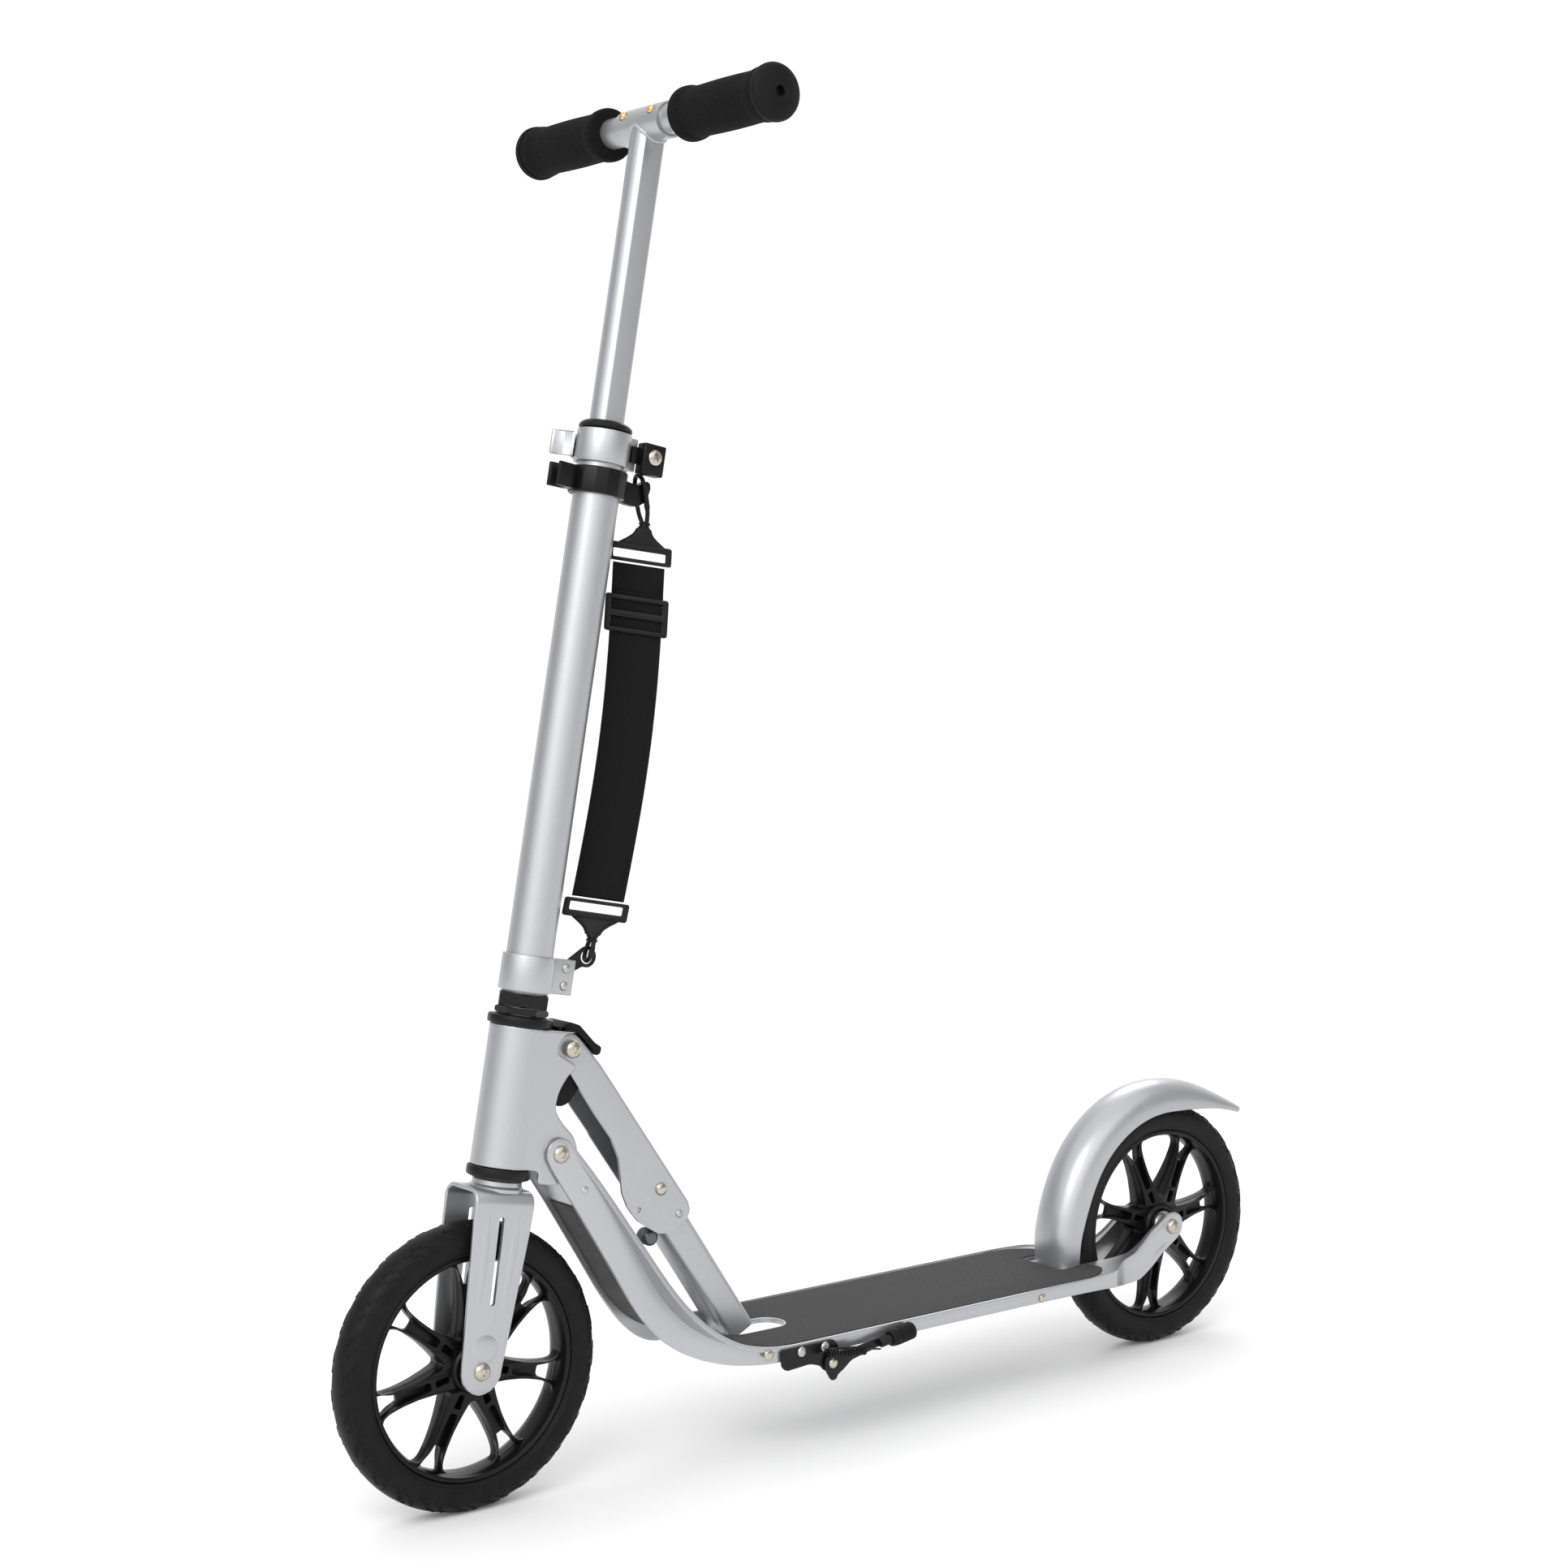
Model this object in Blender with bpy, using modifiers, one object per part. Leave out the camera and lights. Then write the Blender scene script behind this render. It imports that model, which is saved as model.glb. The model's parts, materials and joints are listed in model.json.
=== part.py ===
# Folding two-wheel kick scooter, 205 mm wheels, height-adjustable bar, rear fender brake and side stand.
# Metres. +X is forward, +Y the rider's left, +Z up. Ground is z = 0; the origin lies under the wheelbase middle.
import bpy
import bmesh
import math
import numpy as np
from mathutils import Matrix, Vector

for ob in list(bpy.data.objects):
    bpy.data.objects.remove(ob, do_unlink=True)

# ---------------------------------------------------------------- driving sizes
WHEELBASE = 0.677
WHEEL_R = 0.1025          # tyre outer radius
TYRE_HW = 0.0143          # tyre half width
TILT = math.radians(10.73)  # steering axis leans back from upright
RAKE = 0.0038             # axle ahead of the steering axis
HEAD_LEN = 0.100
STEM_LEN = 0.4035         # outer stem tube
STEM_R = 0.0168
BAR_RISE = 0.2240         # cross bar above the stem top, as set
TBAR_R = 0.0125
BAR_HALF = 0.1560         # middle of the bar to the grip end
GRIP_LEN = 0.0995
DECK_HW = 0.0617          # deck half width
SIDE_H = 0.0111           # deck side wall height
ARM_IN = 0.0204           # half gap between the two neck arms
STRUT_HW = 0.0125         # lower strut half width
GAP = 0.0003              # clearance between touching pieces
FORK_HW = 0.0222          # fork leg outer face
DROP_HW = 0.0255          # rear arm outer face
STRAP_W = 0.038

HB = WHEELBASE / 2
FRONT = Vector((HB, 0, WHEEL_R))
REAR = Vector((-HB, 0, WHEEL_R))
DECK_Z = WHEEL_R - 0.0158  # rim top of the deck

S_CROWN = WHEEL_R + 0.0235
S_HEAD0 = WHEEL_R + 0.0380
S_HEAD1 = S_HEAD0 + HEAD_LEN
S_COLLAR = S_HEAD1 + 0.0245
S_STEM0 = S_HEAD1 + 0.0233
S_TOP = S_STEM0 + STEM_LEN
S_BAR = S_TOP + BAR_RISE
HEAD_R = STEM_R + 0.0043
STEERER_R = STEM_R - 0.0024
INNER_R = STEM_R - 0.0020  # bore of the outer stem tube

parts = bpy.data.collections.new("kick_scooter")
cutters = bpy.data.collections.new("cutters")
bpy.context.scene.collection.children.link(parts)
bpy.context.scene.collection.children.link(cutters)
cutters.hide_render = True

# steering frame: X forward of the axis, Z up the axis, origin level with the axle
AXIS = Matrix.Rotation(-TILT, 4, "Y")
A0 = FRONT - AXIS.to_3x3() @ Vector((RAKE, 0, 0))
STEER = Matrix.Translation(A0) @ AXIS


def sp(x, s, y=0.0):
    """Point given ahead of, along and beside the steering axis."""
    return STEER @ Vector((x, y, s))


# ---------------------------------------------------------------- materials
def material(name, rgb, metallic=0.0, rough=0.5):
    m = bpy.data.materials.new("mat_" + name)
    m.use_nodes = True
    b = m.node_tree.nodes["Principled BSDF"]
    b.inputs["Base Color"].default_value = (*rgb, 1)
    b.inputs["Metallic"].default_value = metallic
    b.inputs["Roughness"].default_value = rough
    return m


KINDS = {
    "silver": ((0.62, 0.64, 0.66), 0.85, 0.38),
    "bright": ((0.75, 0.75, 0.74), 1.0, 0.18),
    "zinc": ((0.55, 0.55, 0.53), 1.0, 0.35),
    "black": ((0.012, 0.012, 0.013), 0.0, 0.42),
    "rubber": ((0.014, 0.014, 0.015), 0.0, 0.62),
    "foam": ((0.010, 0.010, 0.011), 0.0, 0.92),
    "grit": ((0.035, 0.036, 0.038), 0.0, 0.85),
    "steel": ((0.05, 0.05, 0.052), 0.6, 0.45),
    "brass": ((0.72, 0.45, 0.16), 1.0, 0.25),
    "webbing": ((0.012, 0.012, 0.013), 0.0, 0.85),
}


def paint(ob, kind):
    rgb, metal, rough = KINDS[kind]
    ob.data.materials.clear()
    ob.data.materials.append(material(ob.name, rgb, metal, rough))
    return ob


# ---------------------------------------------------------------- modelling helpers
def put(name, me, coll=None):
    ob = bpy.data.objects.new(name, me)
    (coll or parts).objects.link(ob)
    return ob


def tidy(ob):
    """Weld, drop slivers and face every side outward."""
    bm = bmesh.new()
    bm.from_mesh(ob.data)
    bmesh.ops.remove_doubles(bm, verts=bm.verts, dist=1e-6)
    bmesh.ops.dissolve_degenerate(bm, dist=1e-7, edges=bm.edges)
    bmesh.ops.recalc_face_normals(bm, faces=bm.faces)
    if bm.calc_volume(signed=True) < 0:
        bmesh.ops.reverse_faces(bm, faces=bm.faces)
    bm.to_mesh(ob.data)
    bm.free()
    return ob


def bake(ob):
    bpy.context.view_layer.update()
    dg = bpy.context.evaluated_depsgraph_get()
    me = bpy.data.meshes.new_from_object(ob.evaluated_get(dg))
    ob.modifiers.clear()
    ob.data = me
    return tidy(ob)


def boolean(ob, other, op):
    m = ob.modifiers.new(op.lower(), "BOOLEAN")
    m.operation = op
    m.solver = "EXACT"
    m.object = other
    bake(ob)
    bpy.data.objects.remove(other, do_unlink=True)
    return ob


def cut(ob, *others):
    for o in others:
        boolean(ob, o, "DIFFERENCE")
    return ob


def fuse(ob, *others):
    for o in others:
        boolean(ob, o, "UNION")
    return ob


def keep(ob, other):
    return boolean(ob, other, "INTERSECT")


def solid(name, verts, faces, coll=None):
    me = bpy.data.meshes.new(name)
    me.from_pydata([tuple(v) for v in verts], [], faces)
    return tidy(put(name, me, coll))


def move(ob, m):
    ob.data.transform(m)
    return ob


def turned(name, profile, segs, m=None, coll=None):
    """Spin a closed (radius, height) outline about Z with a Screw modifier; open outlines start and end at r 0."""
    me = bpy.data.meshes.new(name)
    pts = [(r, 0, z) for r, z in profile]
    ring = min(r for r, _ in profile) > 1e-6
    edges = [(i, i + 1) for i in range(len(pts) - 1)] + ([(len(pts) - 1, 0)] if ring else [])
    me.from_pydata(pts, edges, [])
    ob = put(name, me, coll)
    sc = ob.modifiers.new("screw", "SCREW")
    sc.axis = "Z"
    sc.angle = 2 * math.pi
    sc.steps = sc.render_steps = segs if segs <= 6 else max(12, 4 * round(segs * 0.135))
    sc.use_merge_vertices = True
    sc.merge_threshold = 1e-6
    bake(ob)
    return move(ob, m) if m is not None else ob


def rod(name, a, b, r, segs=16, coll=None):
    """Plain cylinder from a to b."""
    a, b = Vector(a), Vector(b)
    d = b - a
    m = Matrix.Translation(a) @ d.to_track_quat("Z", "Y").to_matrix().to_4x4()
    return turned(name, [(0, d.length), (r, d.length), (r, 0), (0, 0)], segs, m, coll)


def box(name, lo, hi, m=None, coll=None, bevel=0.0):
    x0, y0, z0 = lo
    x1, y1, z1 = hi
    v = [(x, y, z) for x in (x0, x1) for y in (y0, y1) for z in (z0, z1)]
    f = [(0, 1, 3, 2), (4, 6, 7, 5), (0, 4, 5, 1), (2, 3, 7, 6), (0, 2, 6, 4), (1, 5, 7, 3)]
    ob = solid(name, v, f, coll)
    if bevel:
        b = ob.modifiers.new("bevel", "BEVEL")
        b.width = bevel
        b.segments = 2
        bake(ob)
    return move(ob, m) if m is not None else ob


def plate(name, outline, y0, y1, m=None, coll=None, bevel=0.0):
    """Extrude an (x, z) outline between y0 and y1."""
    n = len(outline)
    v = [(x, y0, z) for x, z in outline] + [(x, y1, z) for x, z in outline]
    f = [tuple(range(n)), tuple(range(2 * n - 1, n - 1, -1))]
    f += [(i, (i + 1) % n, n + (i + 1) % n, n + i) for i in range(n)]
    ob = solid(name, v, f, coll)
    if bevel:
        b = ob.modifiers.new("bevel", "BEVEL")
        b.width = bevel
        b.segments = 1
        b.limit_method = "ANGLE"
        b.angle_limit = math.radians(50)
        bake(ob)
    return move(ob, m) if m is not None else ob


def slab(name, outline, z0, z1, coll=None):
    """Extrude an (x, y) outline between z0 and z1."""
    n = len(outline)
    v = [(x, y, z0) for x, y in outline] + [(x, y, z1) for x, y in outline]
    f = [tuple(range(n)), tuple(range(2 * n - 1, n - 1, -1))]
    f += [(i, (i + 1) % n, n + (i + 1) % n, n + i) for i in range(n)]
    return solid(name, v, f, coll)


def loft(name, rings, closed=False, coll=None):
    """Skin equal-length rings of points; ends are capped unless the loft closes on itself."""
    n, k = len(rings[0]), len(rings)
    v = [p for r in rings for p in r]
    f = []
    for j in range(k if closed else k - 1):
        a, b = j * n, ((j + 1) % k) * n
        f += [(a + i, a + (i + 1) % n, b + (i + 1) % n, b + i) for i in range(n)]
    if not closed:
        f += [tuple(range(n - 1, -1, -1)), tuple((k - 1) * n + i for i in range(n))]
    return solid(name, v, f, coll)


def pipe(name, pts, r, res=3, cyclic=False):
    """Round bar along a list of points, drawn as a bevelled curve and turned into a mesh."""
    cu = bpy.data.curves.new(name, "CURVE")
    cu.dimensions = "3D"
    cu.bevel_depth = r
    cu.bevel_resolution = res
    cu.use_fill_caps = True
    s = cu.splines.new("POLY")
    s.points.add(len(pts) - 1)
    for p, q in zip(s.points, pts):
        p.co = (*q, 1)
    s.use_cyclic_u = cyclic
    tmp = bpy.data.objects.new(name + "_curve", cu)
    parts.objects.link(tmp)
    bpy.context.view_layer.update()
    me = bpy.data.meshes.new_from_object(tmp.evaluated_get(bpy.context.evaluated_depsgraph_get()))
    bpy.data.objects.remove(tmp, do_unlink=True)
    return tidy(put(name, me))


def arc(cx, cz, r, a0, a1, n):
    """Points on a circle, angles in degrees."""
    return [(cx + r * math.cos(math.radians(a0 + (a1 - a0) * i / n)),
             cz + r * math.sin(math.radians(a0 + (a1 - a0) * i / n))) for i in range(n + 1)]


def ring_profile(r0, r1, z0, z1, c=0.0):
    """Closed outline of a ring with a small chamfer, top to bottom."""
    if c <= 0:
        return [(r1, z1), (r1, z0), (r0, z0), (r0, z1)]
    return [(r1 - c, z1), (r1, z1 - c), (r1, z0 + c), (r1 - c, z0), (r0, z0), (r0, z1)]


def dome(h, r, z, sign=1):
    """Half outline of a button head standing on height z."""
    return [(r * math.cos(t), z + sign * h * math.sin(t)) for t in np.radians([62, 32, 0])]


def through_bolt(name, at, half, shaft, head_r, head_h, kind, segs=16, hexr=0.0, axis=None):
    """Pin along Y with a domed head at both ends; half is the face the heads sit on."""
    up = [(0, half + GAP + head_h)] + dome(head_h, head_r, half + GAP)
    pro = up + [(shaft, half + GAP), (shaft, -half - GAP)]
    pro += [(r, -z) for r, z in reversed(dome(head_h, head_r, half + GAP))] + [(0, -half - GAP - head_h)]
    m = Matrix.Translation(Vector(at)) @ Matrix.Rotation(math.radians(-90), 4, "X")
    if axis is not None:
        m = axis
    ob = turned(name, pro, segs, m)
    if hexr:
        for sgn in (1, -1):
            y = half + GAP + head_h
            h = turned(name + "_hex", [(0, 0.001), (hexr, 0.001), (hexr, -0.0016), (0, -0.0016)], 6,
                       m @ Matrix.Translation((0, 0, sgn * y)) @ Matrix.Rotation(0 if sgn > 0 else math.pi, 4, "X"),
                       cutters)
            cut(ob, h)
    return paint(ob, kind)


ALONG_Y = Matrix.Rotation(math.radians(-90), 4, "X")


# ---------------------------------------------------------------- wheels
SPOKES = 7
RIM_R = WHEEL_R - 0.0225      # rim edge that shows beside the tyre
LIP_R = RIM_R - 0.0035
HUB_R = 0.0165
RIM_HW = TYRE_HW - 0.0025
CORE_R = 0.0110


def wheel(tag, centre, phase):
    at = Matrix.Translation(centre) @ ALONG_Y
    w, t = RIM_HW, TYRE_HW
    # tyre: rounded outside, flat bead sides, seated on the rim
    seat = RIM_R + 0.0005
    pro = [(seat, t - 0.0026), (seat + 0.0080, t)]
    pro += [(WHEEL_R - 0.0122 + 0.0122 * math.sin(a), t * math.cos(a) ** 0.9 if math.cos(a) > 1e-3 else 0)
            for a in np.radians([26, 58, 90])]
    pro += [(r, -z) for r, z in reversed(pro[:-1])]
    tyre = paint(turned(tag + "_tyre", pro, 64, at), "rubber")
    # rim: outer band, disc pierced into forked spokes, hub
    w0 = w * 0.62
    rp = [(RIM_R, w), (RIM_R, -w), (LIP_R, -w), (LIP_R - 0.0015, -w0), (LIP_R - 0.0015, w0), (LIP_R, w)]
    rim = turned(tag + "_rim", rp, 56, at)
    web = turned(tag + "_web", [(LIP_R, w0 - 0.001), (LIP_R, -w0 + 0.001), (HUB_R, -w + 0.001),
                                (CORE_R + 0.0003, -w - 0.0012), (CORE_R + 0.0003, w + 0.0012), (HUB_R, w - 0.001)],
                 41, at, cutters)
    step = 2 * math.pi / SPOKES
    r_out = LIP_R - 0.0030
    for k in range(SPOKES):
        a = phase + k * step
        turn = at @ Matrix.Rotation(a, 4, "Z")
        # wide teardrop between two spokes
        half = step / 2
        pts = []
        for r, f in ((HUB_R + 0.0080, 0.09), (HUB_R + 0.0170, 0.27), (0.74 * r_out, 0.37), (r_out, 0.34)):
            pts.append((r, half - f * step))
        pts += [(r, 2 * half - g) for r, g in reversed(pts)]
        out = [(r * math.cos(g), r * math.sin(g)) for r, g in pts]
        c1 = slab(tag + "_drop", out, -0.05, 0.05, cutters)
        cut(web, move(c1, turn))
        # small window in the fork of the spoke
        c2 = slab(tag + "_window", [(r * math.cos(g), r * math.sin(g)) for r, g in
                                    ((r_out, 0.075), (r_out - 0.0145, 0.045), (r_out - 0.0145, -0.045), (r_out, -0.075))], -0.05, 0.05, cutters)
        cut(web, move(c2, turn))
    fuse(rim, web)
    paint(rim, "black")
    # bearing pair and spacer as one turned core
    i, o = 0.0043, CORE_R
    e = DROP_HW - 0.0062 if tag == "rear" else FORK_HW - 0.0034
    core = [(0.0070, e), (0.0070, w + 0.0018), (o, w + 0.0018), (o, -w - 0.0018), (0.0070, -w - 0.0018), (0.0070, -e),
            (i, -e), (i, e)]
    paint(turned(tag + "_bearing_core", core, 20, at), "zinc")


wheel("front", FRONT, math.radians(-39))
wheel("rear", REAR, math.radians(33.7))


# ---------------------------------------------------------------- fold linkage points (side view)
def side(x, z):
    return Vector((x, 0, z))


NECK_P = sp(-0.0350, S_HEAD0 + 0.0138)            # neck bolt
UPPER_P = sp(-0.0349, S_HEAD0 + 0.0880)           # strut bolt on the head
FOOT_P = side(HB - 0.2195, WHEEL_R - 0.0195)      # strut foot on the deck
_ud = UPPER_P - FOOT_P
_n = Vector((-_ud.z, 0, _ud.x)).normalized()
KNEE_P = FOOT_P + _ud * 0.5085 + _n * 0.0092      # knee of the strut


# ---------------------------------------------------------------- deck frame
def deck_sections():
    """Stations along the rim: position of the rim top, rim half width, wall half width, depths."""
    f, z = HB, DECK_Z
    arm_d = Vector((-0.5417, 0, -0.8406))     # down the neck
    nrm = Vector((-0.8406, 0, 0.5417))        # out of the neck, rearward and up
    top = NECK_P + nrm * 0.0148               # rim line beside the neck bolt
    # (point, half width of rim, half width of wall, rim to plate, rim to wall foot, plate thickness, wall thickness)
    st = []
    e = Vector((0.861, 0, -0.508))            # along a rear arm, forward and down
    q = Vector((0.508, 0, 0.861))
    ax = REAR
    h = 0.0123
    for t in (-0.95, -0.70, 0.0, 1.6):
        k = math.sqrt(max(1 - min(t, 0) ** 2, 0)) * h
        y = DROP_HW
        st.append((ax + e * (t * h) + q * k, y, y - 0.0003, min(0.0030, k * 0.5), 2 * k, min(0.0040, k * 0.6), 0.0058))
    rear = [(0.0375, 0.0268, 0.0018, 0.0246, 0.0060), (0.0510, 0.0300, 0.0016, 0.0243, 0.0060),
            (0.0700, 0.0375, 0.0015, 0.0210, 0.0050), (0.0860, 0.0490, 0.0015, 0.0168, 0.0038),
            (0.0990, 0.0575, 0.0015, 0.0140, 0.0030), (0.1350, 0.0617, 0.0015, 0.0115, 0.0030)]
    for x, hw, p, d, t in rear:
        zz = z + (0.0068 if x < 0.04 else 0.0012 if x < 0.06 else 0.0)
        st.append((side(-f + x, zz), DECK_HW * hw / 0.0617, None, p, SIDE_H * d / 0.0111, 0.0024, t))
    # the long flat, then the sweep up to the neck
    for x in (-f + 0.20, f - 0.2500):
        st.append((side(x, z), DECK_HW, None, 0.0015, SIDE_H, 0.0024, 0.0030))
    sweep = [(-0.2340, 0.0005, 1.000, 0.985, 0.0015, 0.0120), (-0.2200, 0.0022, 0.998, 0.900, 0.0017, 0.0145),
             (-0.2050, 0.0055, 0.990, 0.760, 0.0030, 0.0175), (-0.1920, 0.0108, 0.960, 0.610, 0.0058, 0.0205),
             (-0.1790, 0.0190, 0.900, 0.490, 0.0100, 0.0232), (-0.1670, 0.0300, 0.820, 0.410, 0.0145, 0.0250),
             (-0.1530, 0.0475, 0.725, 0.380, 0.0185, 0.0258)]
    for x, dz, hw, ws, p, d in sweep:
        st.append((side(f + x, z + dz), DECK_HW * hw, DECK_HW * ws, p, d, 0.0024, 0.0030))
    # straight neck: blend to the arms
    last = st[-1][0]
    run = (top - last)
    w0, w1 = DECK_HW * 0.725, ARM_IN + 0.0030
    for g, hw in ((0.33, 0.55), (0.68, 0.18)):
        st.append((last + run * g, w1 + (w0 - w1) * hw, w1, 0.0190, 0.0261, 0.0024, 0.0030))
    r = 0.0113
    for t in (0.0, 0.70, 0.95):
        k = math.sqrt(1 - t * t) * r
        c = NECK_P - arm_d * (t * r)
        st.append((c + nrm * k, w1 + 0.0003, w1, k * 0.8, 2 * k, k * 0.3, 0.0030))
    return st


def deck():
    st = deck_sections()
    rings = []
    for i, (p, hw, ws, n0, dn, tw, t) in enumerate(st):
        a = st[max(i - 1, 0)][0]
        b = st[min(i + 1, len(st) - 1)][0]
        d = (b - a).normalized()
        if i <= 3:
            d = Vector((0.861, 0, -0.508))
        if i >= len(st) - 3:
            d = Vector((0.5417, 0, 0.8406))
        up = Vector((-d.z, 0, d.x))
        ws = hw - 0.0003 if ws is None else min(ws, hw - 0.0003)
        t = min(t, ws - 0.004)
        lip = min(0.0040, dn * 0.45)
        half = [(ws - t, -n0), (ws - t + 0.0001, -min(0.0016, n0 * 0.8)), (hw - 0.0018, -min(0.0015, n0 * 0.75)),
                (hw - 0.0016, 0), (hw, 0), (hw, -lip), (ws, -lip - 0.0002), (ws, -dn), (ws - t, -dn),
                (ws - t, -n0 - tw)]
        ring = [p + up * v + Vector((0, y, 0)) for y, v in half]
        ring += [p + up * v + Vector((0, -y, 0)) for y, v in reversed(half)]
        rings.append(ring)
    ob = loft("deck_frame", rings)
    # room for the rear wheel and the fender foot
    zc = WHEEL_R
    r_well = WHEEL_R + 0.0055
    cut(ob, box("c_well", (-HB - 0.05, -DROP_HW + 0.0056, zc - 0.06), (-HB + r_well, DROP_HW - 0.0056, zc + 0.05),
                None, cutters))
    cut(ob, box("c_foot", (-HB + r_well - 0.003, -0.0232, zc - 0.06), (-HB + 0.1275, 0.0232, zc + 0.05), None, cutters))
    # slot for the strut foot
    hw = STRUT_HW + 0.0014
    sl = [(FOOT_P.x - 0.0575 + hw + hw * math.cos(a), hw * math.sin(a)) for a in np.radians(range(90, 271, 30))]
    sl += [(FOOT_P.x + 0.0115, -hw), (FOOT_P.x + 0.0115, hw)]
    cut(ob, slab("c_slot", sl, DECK_Z - 0.0075, DECK_Z + 0.05, cutters))
    # clear the web round the fins of the head
    arm = Vector((0, ARM_IN + 0.00015, 0))
    cut(ob, rod("c_web", NECK_P - arm, NECK_P + arm, 0.0285, 32, cutters))
    # bores
    far = 0.10
    for nm, p, r in (("neck", NECK_P, 0.0036), ("axle", REAR, 0.0041), ("foot", FOOT_P, 0.0033),
                     ("brake", side(-HB + 0.1840, DECK_Z - 0.0075), 0.0024),
                     ("stop", NECK_P + Vector((-0.0195, 0, -0.0283)), 0.0022)):
        cut(ob, rod("c_" + nm, p + Vector((0, -far, 0)), p + Vector((0, far, 0)), r, 28, cutters))
    for x in (-0.2480, -0.2700):
        cut(ob, rod("c_kick", (HB + x, DECK_HW - 0.006, DECK_Z - 0.0056), (HB + x, DECK_HW + 0.01, DECK_Z - 0.0056),
                    0.0022, 12, cutters))
    return paint(ob, "silver")


deck()

# grip sheet: follows the plate up into the sweep, tongues beside the wheel, slotted for the strut
PLATE_Z = DECK_Z - 0.0015
GX = -HB + 0.1295
gh = DECK_HW - 0.0038
rings = []
for p, hw, ws, n0, dn, tw, t in deck_sections():
    if ws is None or not (0 < p.x < HB - 0.1950):
        continue
    inner = min(ws - t - 0.0004, gh) if p.x > HB - 0.24 else gh
    if not rings:
        rings.append((GX, inner, PLATE_Z))
    rings.append((p.x, inner, p.z - n0))
rows = [[(x, y, z + h) for y, h in ((w, 0.0002), (w, 0.0011), (-w, 0.0011), (-w, 0.0002))] for x, w, z in rings]
grip = loft("deck_grip", rows)
for s in (1, -1):
    tongue = [(GX + 0.01, gh - 0.0006), (-HB + 0.1280, gh - 0.0008), (-HB + 0.1120, gh - 0.0060),
              (-HB + 0.1030, gh - 0.0130), (-HB + 0.0990, gh - 0.0200), (-HB + 0.1000, 0.0250), (GX + 0.01, 0.0250)]
    fuse(grip, slab("tongue", [(x, s * y) for x, y in tongue], PLATE_Z + 0.0002, PLATE_Z + 0.0011))
hs = STRUT_HW + 0.0034
sl = [(FOOT_P.x - 0.0595 + hs + hs * math.cos(a), hs * math.sin(a)) for a in np.radians(range(90, 271, 30))]
cut(grip, slab("c_gslot", sl + [(FOOT_P.x + 0.0135, -hs), (FOOT_P.x + 0.0135, hs)], 0, 0.3, cutters))
paint(grip, "grit")

through_bolt("strut_foot_rod", FOOT_P, DECK_HW, 0.0027, 0.0042, 0.0016, "bright", 14)
BRAKE_P = side(-HB + 0.1840, DECK_Z - 0.0075)
through_bolt("brake_pivot_rod", BRAKE_P, DECK_HW, 0.0020, 0.0034, 0.0012, "bright", 12)
through_bolt("neck_bolt", NECK_P, ARM_IN + 0.0030, 0.0033, 0.0063, 0.0033, "bright", 18, 0.0022)
STOP_P = NECK_P + Vector((-0.0195, 0, -0.0283))
through_bolt("neck_stop_pin", STOP_P, ARM_IN + 0.0030, 0.0019, 0.0027, 0.0008, "zinc", 12)
through_bolt("rear_axle_bolt", REAR, DROP_HW, 0.0039, 0.0062, 0.0032, "bright", 18, 0.0022)
through_bolt("front_axle_bolt", FRONT, FORK_HW, 0.0039, 0.0062, 0.0032, "bright", 18, 0.0022)


# ---------------------------------------------------------------- brake fender
def fender():
    top_r, edge_r = WHEEL_R + 0.0205, WHEEL_R - 0.0045
    hw, th = 0.0222, 0.0016
    # (angle from forward, crown radius, edge radius, half width)
    rows = []
    for a in (18, 34, 50, 66, 82, 100, 117):
        rows.append((a, top_r, edge_r, hw))
    rows += [(125, top_r + 0.0030, edge_r + 0.0080, hw), (130.5, top_r + 0.0085, edge_r + 0.0190, hw - 0.0006),
             (134.8, top_r + 0.0170, edge_r + 0.0340, hw - 0.0020)]
    rings = []

    def section(place, w, ro, ri):
        n = 8
        outer, inner = [], []
        for i in range(n + 1):
            g = math.radians(-90 + 180 * i / n)
            y, c = w * math.sin(g), max(math.cos(g), 0.0) ** 0.62
            outer.append(place(y, ri + (ro - ri) * c))
            y2 = (w - th) * math.sin(g)
            inner.append(place(y2, ri + (ro - th - ri) * c))
        return outer + list(reversed(inner))

    # foot: straight down through the deck, then the arc over the tyre
    xf = WHEEL_R + 0.0335
    for z in (DECK_Z - 0.0045, DECK_Z + 0.0190):
        k = (z - DECK_Z) * 0.34
        rings.append(section(lambda y, r, z=z, k=k: Vector((-HB + r - k, y, z)), hw * 0.97,
                             xf - 0.0105, xf - 0.0290))
    for a, ro, ri, w in rows:
        g = math.radians(a)
        rings.append(section(lambda y, r, g=g: REAR + Vector((r * math.cos(g), y, r * math.sin(g))), w, ro, ri))
    ob = loft("brake_fender", rings)
    # lever plate under the deck, running to an eye on the cross rod
    zp = BRAKE_P.z
    x0 = -HB + WHEEL_R + 0.0090
    fuse(ob, box("f_arm", (x0, -0.0205, DECK_Z - 0.0070), (BRAKE_P.x - 0.0030, 0.0205, DECK_Z - 0.0043)))
    fuse(ob, rod("f_eye", BRAKE_P + Vector((0, -0.0205, 0)), BRAKE_P + Vector((0, 0.0205, 0)), 0.0033, 14))
    cut(ob, rod("c_eye", BRAKE_P + Vector((0, -0.04, 0)), BRAKE_P + Vector((0, 0.04, 0)), 0.0023, 14, cutters))
    return paint(ob, "silver")


fender()

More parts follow.
